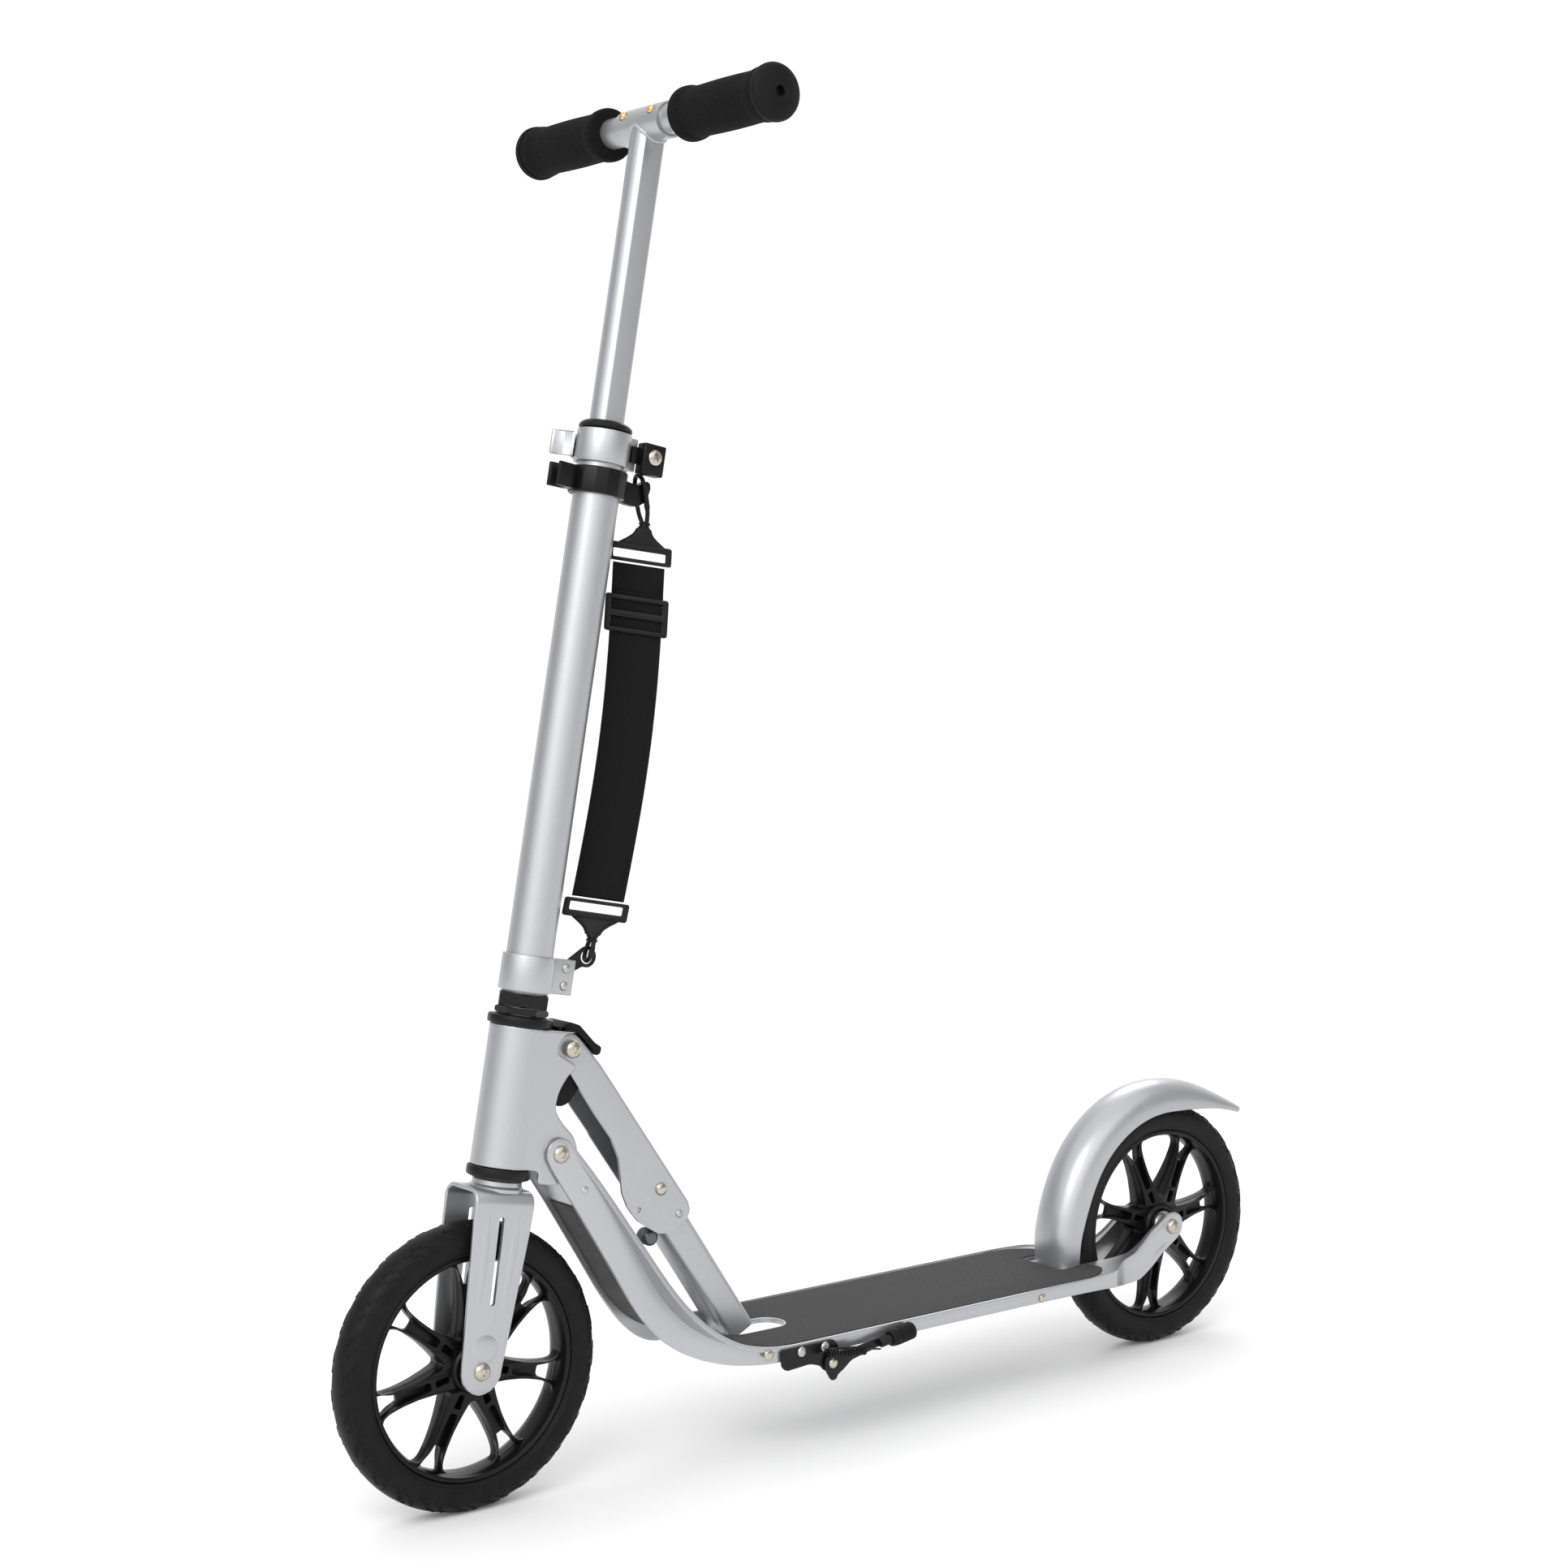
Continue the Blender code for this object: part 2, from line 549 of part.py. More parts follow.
# ---------------------------------------------------------------- head
head = turned("head_tube", ring_profile(HEAD_R - 0.0035, HEAD_R, S_HEAD0, S_HEAD1), 40, STEER)
fin_y0, fin_y1 = ARM_IN - 0.0034, ARM_IN - 0.0004
h0 = S_HEAD0
fin = [(-0.0068, h0 + HEAD_LEN), (-0.0400, h0 + 0.1000)]
fin += arc(-0.0349, h0 + 0.0880, 0.0120, 62, -20, 6)
fin += [(-0.0410, h0 + 0.0765), (-0.0345, h0 + 0.0695), (-0.0290, h0 + 0.0590), (-0.0272, h0 + 0.0500),
        (-0.0285, h0 + 0.0425), (-0.0360, h0 + 0.0345), (-0.0460, h0 + 0.0270), (-0.0505, h0 + 0.0190),
        (-0.0510, h0 + 0.0100), (-0.0480, h0 + 0.0000), (-0.0425, h0 - 0.0068), (-0.0360, h0 - 0.0089),
        (-0.0206, h0 - 0.0089), (-0.0240, h0 + 0.0000), (-0.0068, h0 + 0.0005)]
for s in (1, -1):
    y0, y1 = (fin_y0, fin_y1) if s > 0 else (-fin_y1, -fin_y0)
    fuse(head, plate("fin", fin, y0, y1, STEER))
for nm, p in (("c_u", UPPER_P), ("c_n", NECK_P)):
    cut(head, rod(nm, p + Vector((0, -0.05, 0)), p + Vector((0, 0.05, 0)), 0.0036, 16, cutters))
paint(head, "silver")
through_bolt("upper_strut_bolt", UPPER_P, fin_y1, 0.0033, 0.0063, 0.0033, "bright", 18, 0.0022)

cup_in, bore = STEERER_R + 0.0006, HEAD_R - 0.0035 - GAP
up = S_HEAD1 + GAP
pro = [(HEAD_R + 0.0012, up + 0.0072), (HEAD_R + 0.0022, up + 0.0058), (HEAD_R + 0.0022, up + 0.0012),
       (HEAD_R + 0.0010, up), (bore, up), (bore, up - 0.0090), (cup_in, up - 0.0090), (cup_in, up + 0.0072)]
paint(turned("upper_cup", pro, 36, STEER), "black")
lo = S_HEAD0 - GAP
pro = [(bore, lo + 0.0090), (bore, lo), (HEAD_R + 0.0010, lo), (HEAD_R + 0.0018, lo - 0.0012),
       (HEAD_R + 0.0018, lo - 0.0062), (HEAD_R, lo - 0.0078), (cup_in, lo - 0.0078), (cup_in, lo + 0.0090)]
low = turned("lower_cup", pro, 36, STEER)
paint(low, "black")

# soft knuckle between the fins: bush round the strut bolt and a bumper lobe below it
cv = fin_y0 - 0.0034
cover_pts = [(-0.0220, h0 + 0.0996), (-0.0300, h0 + 0.0996)] + arc(-0.0349, h0 + 0.0880, 0.0112, 95, 232, 6)
cover_pts += [(-0.0445, h0 + 0.0650), (-0.0500, h0 + 0.0610), (-0.0412, h0 + 0.0480), (-0.0341, h0 + 0.0455),
              (-0.0272, h0 + 0.0500), (-0.0220, h0 + 0.0600)]
cover = plate("fold_cover", cover_pts, -cv, cv, STEER)
cut(cover, rod("c_u", UPPER_P + Vector((0, -0.05, 0)), UPPER_P + Vector((0, 0.05, 0)), 0.0036, 16, cutters))
paint(cover, "black")


# ---------------------------------------------------------------- strut
def frame2(o, d):
    """Side-view frame: X along d, Z on its rear/upper side, Y kept."""
    d = d.normalized()
    n = Vector((d.z, 0, -d.x))
    m = Matrix.Identity(4)
    for i in range(3):
        m[i][0], m[i][1], m[i][2], m[i][3] = d[i], (0, -1, 0)[i], n[i], o[i]
    return m


BR = frame2(UPPER_P, KNEE_P - UPPER_P)
LB = (KNEE_P - UPPER_P).length
by = fin_y0 - 0.0006
outl = [(-0.0000, 0.0112), (-0.0075, 0.0078), (-0.0108, 0.0), (-0.0085, -0.0070), (-0.0010, -0.0108)]
outl += [(0.0160, -0.0108), (0.0520, -0.0118), (LB * 0.56, -0.0112), (LB * 0.68, -0.0150), (LB * 0.77, -0.0215),
         (LB * 0.85, -0.0278), (LB * 0.93, -0.0300), (LB * 1.045, -0.0290), (LB * 1.13, -0.0240),
         (LB * 1.205, -0.0195), (LB * 1.235, -0.0120), (LB * 1.248, 0.0075), (LB * 1.235, 0.0115), (LB * 1.205, 0.0140),
         (0.0270, 0.0140), (0.0120, 0.0125)]
bracket = plate("strut_bracket", outl, -by, by, BR)
hollow = [(-0.030, -0.06), (LB * 1.4, -0.06), (LB * 1.4, 0.0119), (0.0200, 0.0119), (-0.030, 0.0119)]
cut(bracket, plate("c_hollow", hollow, -by + 0.0020, by - 0.0020, BR, cutters))
for nm, x, z, r in (("u", 0, 0, 0.0036), ("k", LB, 0, 0.0024), ("h", LB * 0.992, -0.0236, 0.0023),
                    ("s", LB * 1.193, 0.0016, 0.0018)):
    p = BR @ Vector((x, 0, z))
    cut(bracket, rod("c_" + nm, p + Vector((0, -0.05, 0)), p + Vector((0, 0.05, 0)), r, 14, cutters))
paint(bracket, "silver")
rivet = turned("knee_rivet", [(0, by + 0.0027), (0.0022, by + 0.0024), (0.0040, by + 0.0012), (0.0044, by + GAP),
                              (0.0021, by + GAP), (0.0021, by - 0.0018), (0, by - 0.0018)], 16,
               Matrix.Translation(KNEE_P) @ ALONG_Y)
paint(rivet, "bright")
PIN_P = BR @ Vector((LB * 1.193, 0, 0.0016))

# lower strut: rounded square tube from the knee to the foot rod
TB = frame2(KNEE_P, FOOT_P - KNEE_P)
LT = (FOOT_P - KNEE_P).length


def tube_ring(x, w, z0, z1, r, k):
    pts = []
    for cy, cz, a in ((w - r, z1 - r, 0), (-w + r, z1 - r, 90), (-w + r, z0 + r, 180), (w - r, z0 + r, 270)):
        for q in (0, 45, 90):
            g = math.radians(a + q)
            pts.append(TB @ Vector((x, cy + r * math.cos(g), cz + r * math.sin(g) + k)))
    return pts


sw = STRUT_HW
slope = 0.0162 / LT          # the tube leans back from the line between its pivots
z0, z1 = -0.0160, 0.0102
rings = [tube_ring(x, sw, z0, z1, 0.0060, slope * x) for x in (0.0, LT + 0.0015)]
tube = loft("strut_tube", rings)
fuse(tube, rod("t_knee", KNEE_P + Vector((0, -sw + 0.001, 0)), KNEE_P + Vector((0, sw - 0.001, 0)), 0.0100, 20))
fuse(tube, rod("t_foot", FOOT_P + Vector((0, -sw + 0.001, 0)), FOOT_P + Vector((0, sw - 0.001, 0)), 0.0052, 16))
cut(tube, rod("c_k", KNEE_P + Vector((0, -0.05, 0)), KNEE_P + Vector((0, 0.05, 0)), 0.0024, 14, cutters))
cut(tube, rod("c_f", FOOT_P + Vector((0, -0.05, 0)), FOOT_P + Vector((0, 0.05, 0)), 0.0030, 14, cutters))
# bore up the middle
inner = [tube_ring(x, sw - 0.0020, z0 + 0.0020, z1 - 0.0020, 0.0042, slope * x) for x in (0.0140, LT + 0.01)]
b_in = loft("c_bore", inner, coll=cutters)
cut(tube, b_in)
paint(tube, "silver")

# sprung release knob riding on the front wall of the lower strut, just below the bracket
REL_X = 0.0332
rel_z = z0 + slope * REL_X - 0.0062 - GAP
REL_P = TB @ Vector((REL_X, 0, rel_z))
knob = turned("fold_release", [(0, 0.0066), (0.0046, 0.0060), (0.0062, 0.0044), (0.0062, -0.0044), (0.0046, -0.0060),
                               (0, -0.0066)], 20, Matrix.Translation(REL_P) @ ALONG_Y)
paint(knob, "steel")
stub = turned("catch_pin", [(0, by + 0.0015), (0.0016, by + 0.0013), (0.0029, by + GAP), (0.0015, by + GAP),
                            (0.0015, by - 0.0018), (0, by - 0.0018)], 14, Matrix.Translation(PIN_P) @ ALONG_Y)
paint(stub, "zinc")

# ---------------------------------------------------------------- fork and steerer
leg_y0, leg_y1 = FORK_HW - 0.0030, FORK_HW
c_s = S_CROWN
leg = [(RAKE + 0.0172, 0.0), (RAKE + 0.0190, 0.030), (RAKE + 0.0232, c_s - 0.030), (RAKE + 0.0240, c_s - 0.004),
       (RAKE + 0.0225, c_s), (RAKE - 0.0225, c_s), (RAKE - 0.0240, c_s - 0.004), (RAKE - 0.0232, c_s - 0.030),
       (RAKE - 0.0180, 0.030), (RAKE - 0.0165, 0.0)]
leg += arc(RAKE, -0.0002, 0.0163, 190, 350, 8)
fork = plate("fork", leg, leg_y0, leg_y1, STEER)
fuse(fork, plate("leg2", leg, -leg_y1, -leg_y0, STEER))
crown = [(RAKE + 0.0238, c_s - 0.0040), (RAKE + 0.0225, c_s), (RAKE - 0.0225, c_s), (RAKE - 0.0238, c_s - 0.0040)]
fuse(fork, plate("crown", crown, -leg_y1 + 0.0002, leg_y1 - 0.0002, STEER))
bev = fork.modifiers.new("bevel", "BEVEL")
bev.width = 0.0018
bev.segments = 1
bev.limit_method = "ANGLE"
bev.angle_limit = math.radians(80)
bake(fork)
for s in (1, -1):
    sl = arc(RAKE + 0.0015, c_s - 0.020, 0.0019, 0, 180, 4) + arc(RAKE - 0.0005, 0.048, 0.0019, 180, 360, 4)
    cut(fork, plate("c_slot", sl, s * FORK_HW - 0.006, s * FORK_HW + 0.006, STEER, cutters))
cut(fork, rod("c_ax", FRONT + Vector((0, -0.05, 0)), FRONT + Vector((0, 0.05, 0)), 0.0041, 16, cutters))
neck = turned("neck", ring_profile(0.0130, STEM_R + 0.0008, c_s - 0.0030, c_s + 0.0055), 32, STEER)
fuse(fork, neck)
cut(fork, turned("c_neck", [(0, c_s + 0.01), (0.0130, c_s + 0.01), (0.0130, c_s - 0.01), (0, c_s - 0.01)], 32, STEER,
                 cutters))
paint(fork, "silver")
st0 = c_s + 0.0055 + GAP
steer = turned("steerer_tube", ring_profile(TBAR_R + 0.0004, STEERER_R, st0, S_HEAD1 + 0.060, 0.0003), 32, STEER)
paint(steer, "zinc")

# headset nuts, both on the steerer
hx = S_HEAD1 + 0.0078
n1 = turned("headset_locknut", ring_profile(STEERER_R + GAP, 0.0192, hx, hx + 0.0048, 0.0008), 6,
            STEER @ Matrix.Rotation(0.5, 4, "Z"))
paint(n1, "black")
n2 = turned("headset_nut", ring_profile(STEERER_R + GAP, 0.0198, hx + 0.0052, hx + 0.0150, 0.0016), 6, STEER)
paint(n2, "black")
for n in (n1, n2):
    cut(n, turned("c_r", [(0, hx + 0.03), (STEERER_R + GAP, hx + 0.03), (STEERER_R + GAP, hx - 0.01), (0, hx - 0.01)],
                  32, STEER, cutters))

stem = turned("stem_tube", ring_profile(INNER_R, STEM_R, S_STEM0, S_TOP), 36, STEER)
paint(stem, "silver")


# ---------------------------------------------------------------- collar at the foot of the stem
def band(name, r0, r1, s0, s1, x_ear, ear_in, ear_out, segs=36):
    """Split clamp ring with two parallel ears pointing rearward."""
    ob = turned(name, ring_profile(r0, r1, s0, s1), segs, STEER)
    for s in (1, -1):
        y0, y1 = (ear_in, ear_out) if s > 0 else (-ear_out, -ear_in)
        fuse(ob, box(name + "_ear", (-x_ear, y0, s0), (-r0 - 0.0004, y1, s1), STEER))
    cut(ob, box(name + "_gap", (-x_ear - 0.01, -ear_in, s0 - 0.01), (-r0 + 0.002, ear_in, s1 + 0.01), STEER, cutters))
    return ob


c0 = S_COLLAR
collar = band("stem_collar", STEM_R + GAP, STEM_R + 0.0024, c0, c0 + 0.0256, 0.0372, 0.0012, 0.0034)
for s in (c0 + 0.0060, c0 + 0.0190):
    cut(collar, rod("c_cs", sp(-0.0300, s, -0.02), sp(-0.0300, s, 0.02), 0.0021, 12, cutters))
paint(collar, "silver")
eye = plate("strap_eye", arc(-0.0480, c0 + 0.0290, 0.0078, 50, 290, 10) +
            [(-0.0375, c0 + 0.0170), (-0.0345, c0 + 0.0025), (-0.0215, c0 + 0.0025), (-0.0215, c0 + 0.0165)],
            -0.0009, 0.0009, STEER)
cut(eye, rod("c_e", sp(-0.0480, c0 + 0.0290, -0.01), sp(-0.0480, c0 + 0.0290, 0.01), 0.0052, 16, cutters))
for s in (c0 + 0.0060, c0 + 0.0190):
    cut(eye, rod("c_cs", sp(-0.0300, s, -0.02), sp(-0.0300, s, 0.02), 0.0021, 12, cutters))
paint(eye, "steel")
m = Matrix.Translation(sp(-0.0300, c0 + 0.0190)) @ ALONG_Y
through_bolt("collar_screw", (0, 0, 0), 0.0034, 0.0018, 0.0029, 0.0014, "zinc", 12, 0.0, m)

# ---------------------------------------------------------------- height clamp at the stem top
t1 = S_TOP
pro = [(STEM_R + 0.0022, t1 + 0.0006), (STEM_R + 0.0026, t1 + 0.0020), (STEM_R - 0.0010, t1 + 0.0060),
       (TBAR_R + 0.0004, t1 + 0.0062), (TBAR_R + 0.0004, t1 - 0.0240), (INNER_R - GAP, t1 - 0.0240),
       (INNER_R - GAP, t1 + GAP), (STEM_R + 0.0022, t1 + GAP)]
paint(turned("height_bush", pro[::-1], 32, STEER), "black")
q0, q1 = t1 - 0.0245, t1 - 0.0008
qr = band("clamp_ring", STEM_R + GAP, STEM_R + 0.0030, q0, q1, 0.0250, 0.0030, 0.0060)
qm = (q0 + q1) / 2
cut(qr, rod("c_q", sp(-0.0218, qm, -0.03), sp(-0.0218, qm, 0.03), 0.0018, 12, cutters))
paint(qr, "silver")
# square nut block on the near ear, screw with a cross recess through both
blk = box("clamp_nut_block", (-0.0435, 0.0063, q0 - 0.0010), (-0.0206 - 0.0044, 0.0165, q0 + 0.0215), STEER, None, 0.0012)
fuse(blk, box("blk_tongue", (-0.0290, 0.0063, qm - 0.006), (-0.0190, 0.0095, qm + 0.006), STEER))
cut(blk, rod("c_q", sp(-0.0345, qm, -0.03), sp(-0.0345, qm, 0.03), 0.0023, 12, cutters))
cut(blk, rod("c_q2", sp(-0.0218, qm, -0.03), sp(-0.0218, qm, 0.03), 0.0020, 12, cutters))
paint(blk, "black")
m = Matrix.Translation(sp(-0.0345, qm, 0.0164)) @ ALONG_Y
scr = turned("clamp_screw", [(0, 0.0026), (0.0035, 0.0024), (0.0056, 0.0010), (0.0058, GAP), (0.0020, GAP),
                             (0.0020, -0.0070), (0, -0.0070)], 18, m)
for a in (0, 90):
    cut(scr, box("c_x", (-0.0026, -0.0005, 0.0010), (0.0026, 0.0005, 0.004), m @ Matrix.Rotation(math.radians(a + 20), 4, "Z"),
                 cutters))
paint(scr, "bright")
pin = rod("lever_pin", sp(-0.0218, qm, 0.0092), sp(-0.0218, qm, -0.0070), 0.0016, 12)
fuse(pin, rod("lp", sp(-0.0218, qm, -0.0060 - GAP), sp(-0.0218, qm, -0.0077), 0.0026, 16))
paint(pin, "zinc")

# wrap-round lever: cam by the far ear, thin blade round the far side, lip at the front
cy = -0.0150
lever_pts = []
blade = []
r_a, r_b = STEM_R + 0.0042, STEM_R + 0.0062
for a in range(232, 340, 9):
    g = math.radians(a)
    blade.append((r_b * math.cos(g), r_b * math.sin(g)))
lip = [(0.0300, -0.0205), (0.0325, -0.0195), (0.0315, -0.0175), (0.0265, -0.0160), (0.0205, -0.0068)]
inner = []
for a in range(338, 232, -9):
    g = math.radians(a)
    inner.append((r_a * math.cos(g), r_a * math.sin(g)))
cam = [(-0.0148, -0.0150)] + arc(-0.0218, cy, 0.0061, 20, 270, 8)
lever = slab("clamp_lever", blade + lip[:4] + inner + cam, q0 + 0.0030, q1 - 0.0030)
move(lever, STEER)
paint(lever, "silver")

# ---------------------------------------------------------------- strap holder ring
k0 = t1 - 0.0470
pr = [(STEM_R + 0.0040, k0 + 0.0190), (STEM_R + 0.0040, k0), (STEM_R + GAP, k0), (STEM_R + GAP, k0 + 0.0190)]
clip = turned("strap_ring", pr, 14, STEER)
cut(clip, turned("c_clip", [(0, k0 + 0.05), (STEM_R + GAP, k0 + 0.05), (STEM_R + GAP, k0 - 0.02), (0, k0 - 0.02)], 36,
                 STEER, cutters))
# forward open-C prong and rear hook arm
prong = [(0.0195, -0.0050), (0.0245, -0.0085), (0.0370, -0.0095), (0.0370, -0.0065), (0.0270, -0.0050), (0.0270, 0.0010),
         (0.0370, 0.0030), (0.0370, 0.0060), (0.0240, 0.0050), (0.0185, 0.0030)]
fuse(clip, move(slab("prong", prong, k0 + 0.0010, k0 + 0.0180), STEER))
hook = [(-0.0180, k0 + 0.0002), (-0.0180, k0 + 0.0165), (-0.0260, k0 + 0.0150), (-0.0340, k0 + 0.0150),
        (-0.0380, k0 + 0.0190), (-0.0420, k0 + 0.0185), (-0.0435, k0 + 0.0140), (-0.0410, k0 + 0.0040),
        (-0.0340, k0 - 0.0010), (-0.0250, k0 - 0.0010)]
fuse(clip, plate("hook", hook, -0.0040, 0.0040, STEER))
paint(clip, "black")


# ---------------------------------------------------------------- carry strap
STRAP_YAW = math.radians(32)
wx, wy = -math.cos(STRAP_YAW), math.sin(STRAP_YAW)   # across the webbing, steering frame


def strap_pt(d, s, across=0.0, out=0.0):
    """d behind the axis, s along it, across the webbing, out of its face."""
    return STEER @ Vector((-d + wx * across + wy * out, wy * across - wx * out, s))


U_TOP, U_LOW = t1 - 0.0870, S_COLLAR + 0.0700
span = U_TOP - U_LOW
hw = STRAP_W / 2


def bow(s):
    g = (s - U_LOW) / span
    return 0.0445 + 0.0060 * (1 - g) + 0.0070 * math.sin(math.pi * g)


def strip(name, s0, s1, n, out, th, half):
    rings = []
    for i in range(n + 1):
        s = s0 + (s1 - s0) * i / n
        d = bow(s)
        rings.append([strap_pt(d, s, half, out + th), strap_pt(d, s, -half, out + th), strap_pt(d, s, -half, out),
                      strap_pt(d, s, half, out)])
    return loft(name, rings)


web = strip("strap_webbing", U_LOW + 0.0012, U_TOP - 0.0012, 16, -0.0016, 0.0032, hw)
paint(web, "webbing")
sl0 = U_TOP - 0.0510
rings = []
for s in (sl0, sl0 + 0.0270):
    d = bow(s)
    rings.append([strap_pt(d, s, hw + 0.004, 0.0046), strap_pt(d, s, -hw - 0.004, 0.0046),
                  strap_pt(d, s, -hw - 0.004, -0.0046), strap_pt(d, s, hw + 0.004, -0.0046)])
slider = loft("strap_slider", rings)
cut(slider, strip("c_sl", sl0 - 0.01, sl0 + 0.04, 6, -0.0019, 0.0038, hw + 0.0003))
paint(slider, "black")


def buckle(name, s, way, tip_s, tip_d, wide):
    """Webbing loop and snap hook in one moulding; way is +1 when the hook points up."""
    d = bow(s)
    r1 = [strap_pt(d, s, a, o) for a, o in ((hw + 0.0045, 0.0026), (-hw - 0.0045, 0.0026),
                                            (-hw - 0.0045, -0.0026), (hw + 0.0045, -0.0026))]
    rings = [r1, [p + AXIS.to_3x3() @ Vector((0, 0, 0.0030 * way)) for p in r1],
             [p + AXIS.to_3x3() @ Vector((0, 0, 0.0125 * way)) for p in r1],
             [strap_pt(d, s + 0.0140 * way, a, o) for a, o in ((0.0150, 0.0026), (-0.0150, 0.0026),
                                                              (-0.0150, -0.0026), (0.0150, -0.0026))],
             [strap_pt(d, s + 0.0225 * way, a, o) for a, o in ((0.0060, 0.0040), (-0.0060, 0.0040),
                                                              (-0.0060, -0.0040), (0.0060, -0.0040))],
             [strap_pt(d, s + 0.0300 * way, a, o) for a, o in ((0.0045, 0.0040), (-0.0045, 0.0040),
                                                              (-0.0045, -0.0040), (0.0045, -0.0040))]]
    ob = loft(name, rings)
    lo_s, hi_s = (s + 0.0026, s + 0.0088) if way > 0 else (s - 0.0088, s - 0.0026)
    d0 = [strap_pt(d, lo_s, a, o) for a, o in ((hw, 0.02), (-hw, 0.02), (-hw, -0.02), (hw, -0.02))]
    d1 = [strap_pt(d, hi_s, a, o) for a, o in ((hw, 0.02), (-hw, 0.02), (-hw, -0.02), (hw, -0.02))]
    cut(ob, loft("c_b", [d0, d1], coll=cutters))
    base = s + 0.0290 * way
    lean = tip_d - d
    top = tip_s - base
    pts = [(0.0034, 0.0), (wide, 0.40), (wide, 0.72), (wide * 0.8, 0.92), (0.0, 1.0)]
    pts += [(-a, v) for a, v in reversed(pts[:-1])]
    line = [STEER @ Vector((-(d + lean * v), -a, base + top * v)) for a, v in pts]
    hk = pipe("hk", line, 0.0017, 2)
    fuse(ob, hk)
    return paint(ob, "black")


buckle("strap_hook_upper", U_TOP, 1, k0 + 0.0222, 0.0330, 0.0062)
buckle("strap_hook_lower", U_LOW, -1, c0 + 0.0262, 0.0480, 0.0038)

# ---------------------------------------------------------------- T bar
tb0 = S_BAR - 0.4400
yy = TBAR_R * 0.80


def flatted(r, f, s):
    a = math.acos(f / r)
    pts = []
    for i in range(6):
        g = -math.pi / 2 + a + (math.pi - 2 * a) * i / 5
        pts.append((r * math.cos(g), r * math.sin(g)))
    pts += [(-x, -y) for x, y in pts]
    return [STEER @ Vector((x, y, s)) for x, y in pts]


tbar = loft("t_bar", [flatted(TBAR_R, yy, tb0), flatted(TBAR_R, yy, S_BAR - 0.004)])
HS = 0.0270
SLV_R = 0.0132
TUBE_R = 0.0110
mb = STEER @ Matrix.Translation((0, 0, S_BAR)) @ ALONG_Y
sleeve = turned("slv", ring_profile(TUBE_R + GAP, SLV_R, -HS, HS), 28, mb)
fuse(tbar, sleeve)
cut(tbar, turned("c_slv", [(0, HS + 0.01), (TUBE_R + GAP, HS + 0.01), (TUBE_R + GAP, -HS - 0.01), (0, -HS - 0.01)], 28,
                 mb, cutters))
cut(tbar, loft("c_bore", [flatted(TBAR_R - 0.0018, yy - 0.0018, tb0 - 0.01),
                          flatted(TBAR_R - 0.0018, yy - 0.0018, S_BAR - 0.020)], coll=cutters))
BTN_TILT = math.radians(24)
BTN_Y = 0.0175
for s in (1, -1):
    md = STEER @ Matrix.Translation((0, s * BTN_Y, S_BAR)) @ Matrix.Rotation(math.pi / 2 - BTN_TILT, 4, "Y")
    cut(tbar, turned("c_btn", [(0, 0.03), (0.0037, 0.03), (0.0037, 0.004), (0, 0.004)], 16, md, cutters))
paint(tbar, "silver")

y_in = 0.0015
y_end = BAR_HALF - 0.0060
g0 = BAR_HALF - 0.0090 - GRIP_LEN
for s, tag in ((1, "left"), (-1, "right")):
    mh = STEER @ Matrix.Translation((0, 0, S_BAR)) @ Matrix.Rotation(-s * math.pi / 2, 4, "X")
    tube = turned("handle_tube_" + tag, ring_profile(TUBE_R - 0.0015, TUBE_R, y_in, y_end), 28, mh)
    md = STEER @ Matrix.Translation((0, s * BTN_Y, S_BAR)) @ Matrix.Rotation(math.pi / 2 - BTN_TILT, 4, "Y")
    cut(tube, turned("c_b", [(0, 0.03), (0.0035, 0.03), (0.0035, 0.004), (0, 0.004)], 16, md, cutters))
    paint(tube, "silver")
    btn = turned("snap_button_" + tag, [(0, 0.0158), (0.0018, 0.0154), (0.0030, 0.0143), (0.0032, 0.0128), (0.0032, 0.0114),
                                        (0, 0.0114)], 16, md)
    paint(btn, "brass")
    g1 = g0 + GRIP_LEN
    fr = 0.0179
    pro = [(TUBE_R + GAP, g0), (0.0170, g0), (0.0194, g0 + 0.0030), (0.0191, g0 + 0.0105),
           (fr - 0.0003, g0 + 0.0150), (fr + 0.0004, g0 + 0.050), (fr - 0.0002, g1 - 0.0170),
           (0.0188, g1 - 0.0080), (0.0188, g1 - 0.0004), (TUBE_R + GAP, g1 - 0.0004)]
    paint(turned("grip_" + tag, pro, 26, mh), "foam")
    e = g1
    pro = [(0, BAR_HALF), (0.0100, BAR_HALF - 0.0010), (0.0170, BAR_HALF - 0.0038), (0.0200, BAR_HALF - 0.0075),
           (0.0196, e), (TUBE_R + GAP, e), (TUBE_R + GAP, y_end + GAP),
           (TUBE_R - 0.0018, y_end + GAP), (TUBE_R - 0.0018, e - 0.010), (0, e - 0.010)]
    cap = turned("end_cap_" + tag, pro, 26, mh)
    cut(cap, turned("c_hex", [(0, BAR_HALF + 0.01), (0.0042, BAR_HALF + 0.01), (0.0042, BAR_HALF - 0.0050),
                              (0, BAR_HALF - 0.0050)], 6, mh, cutters))
    paint(cap, "rubber")

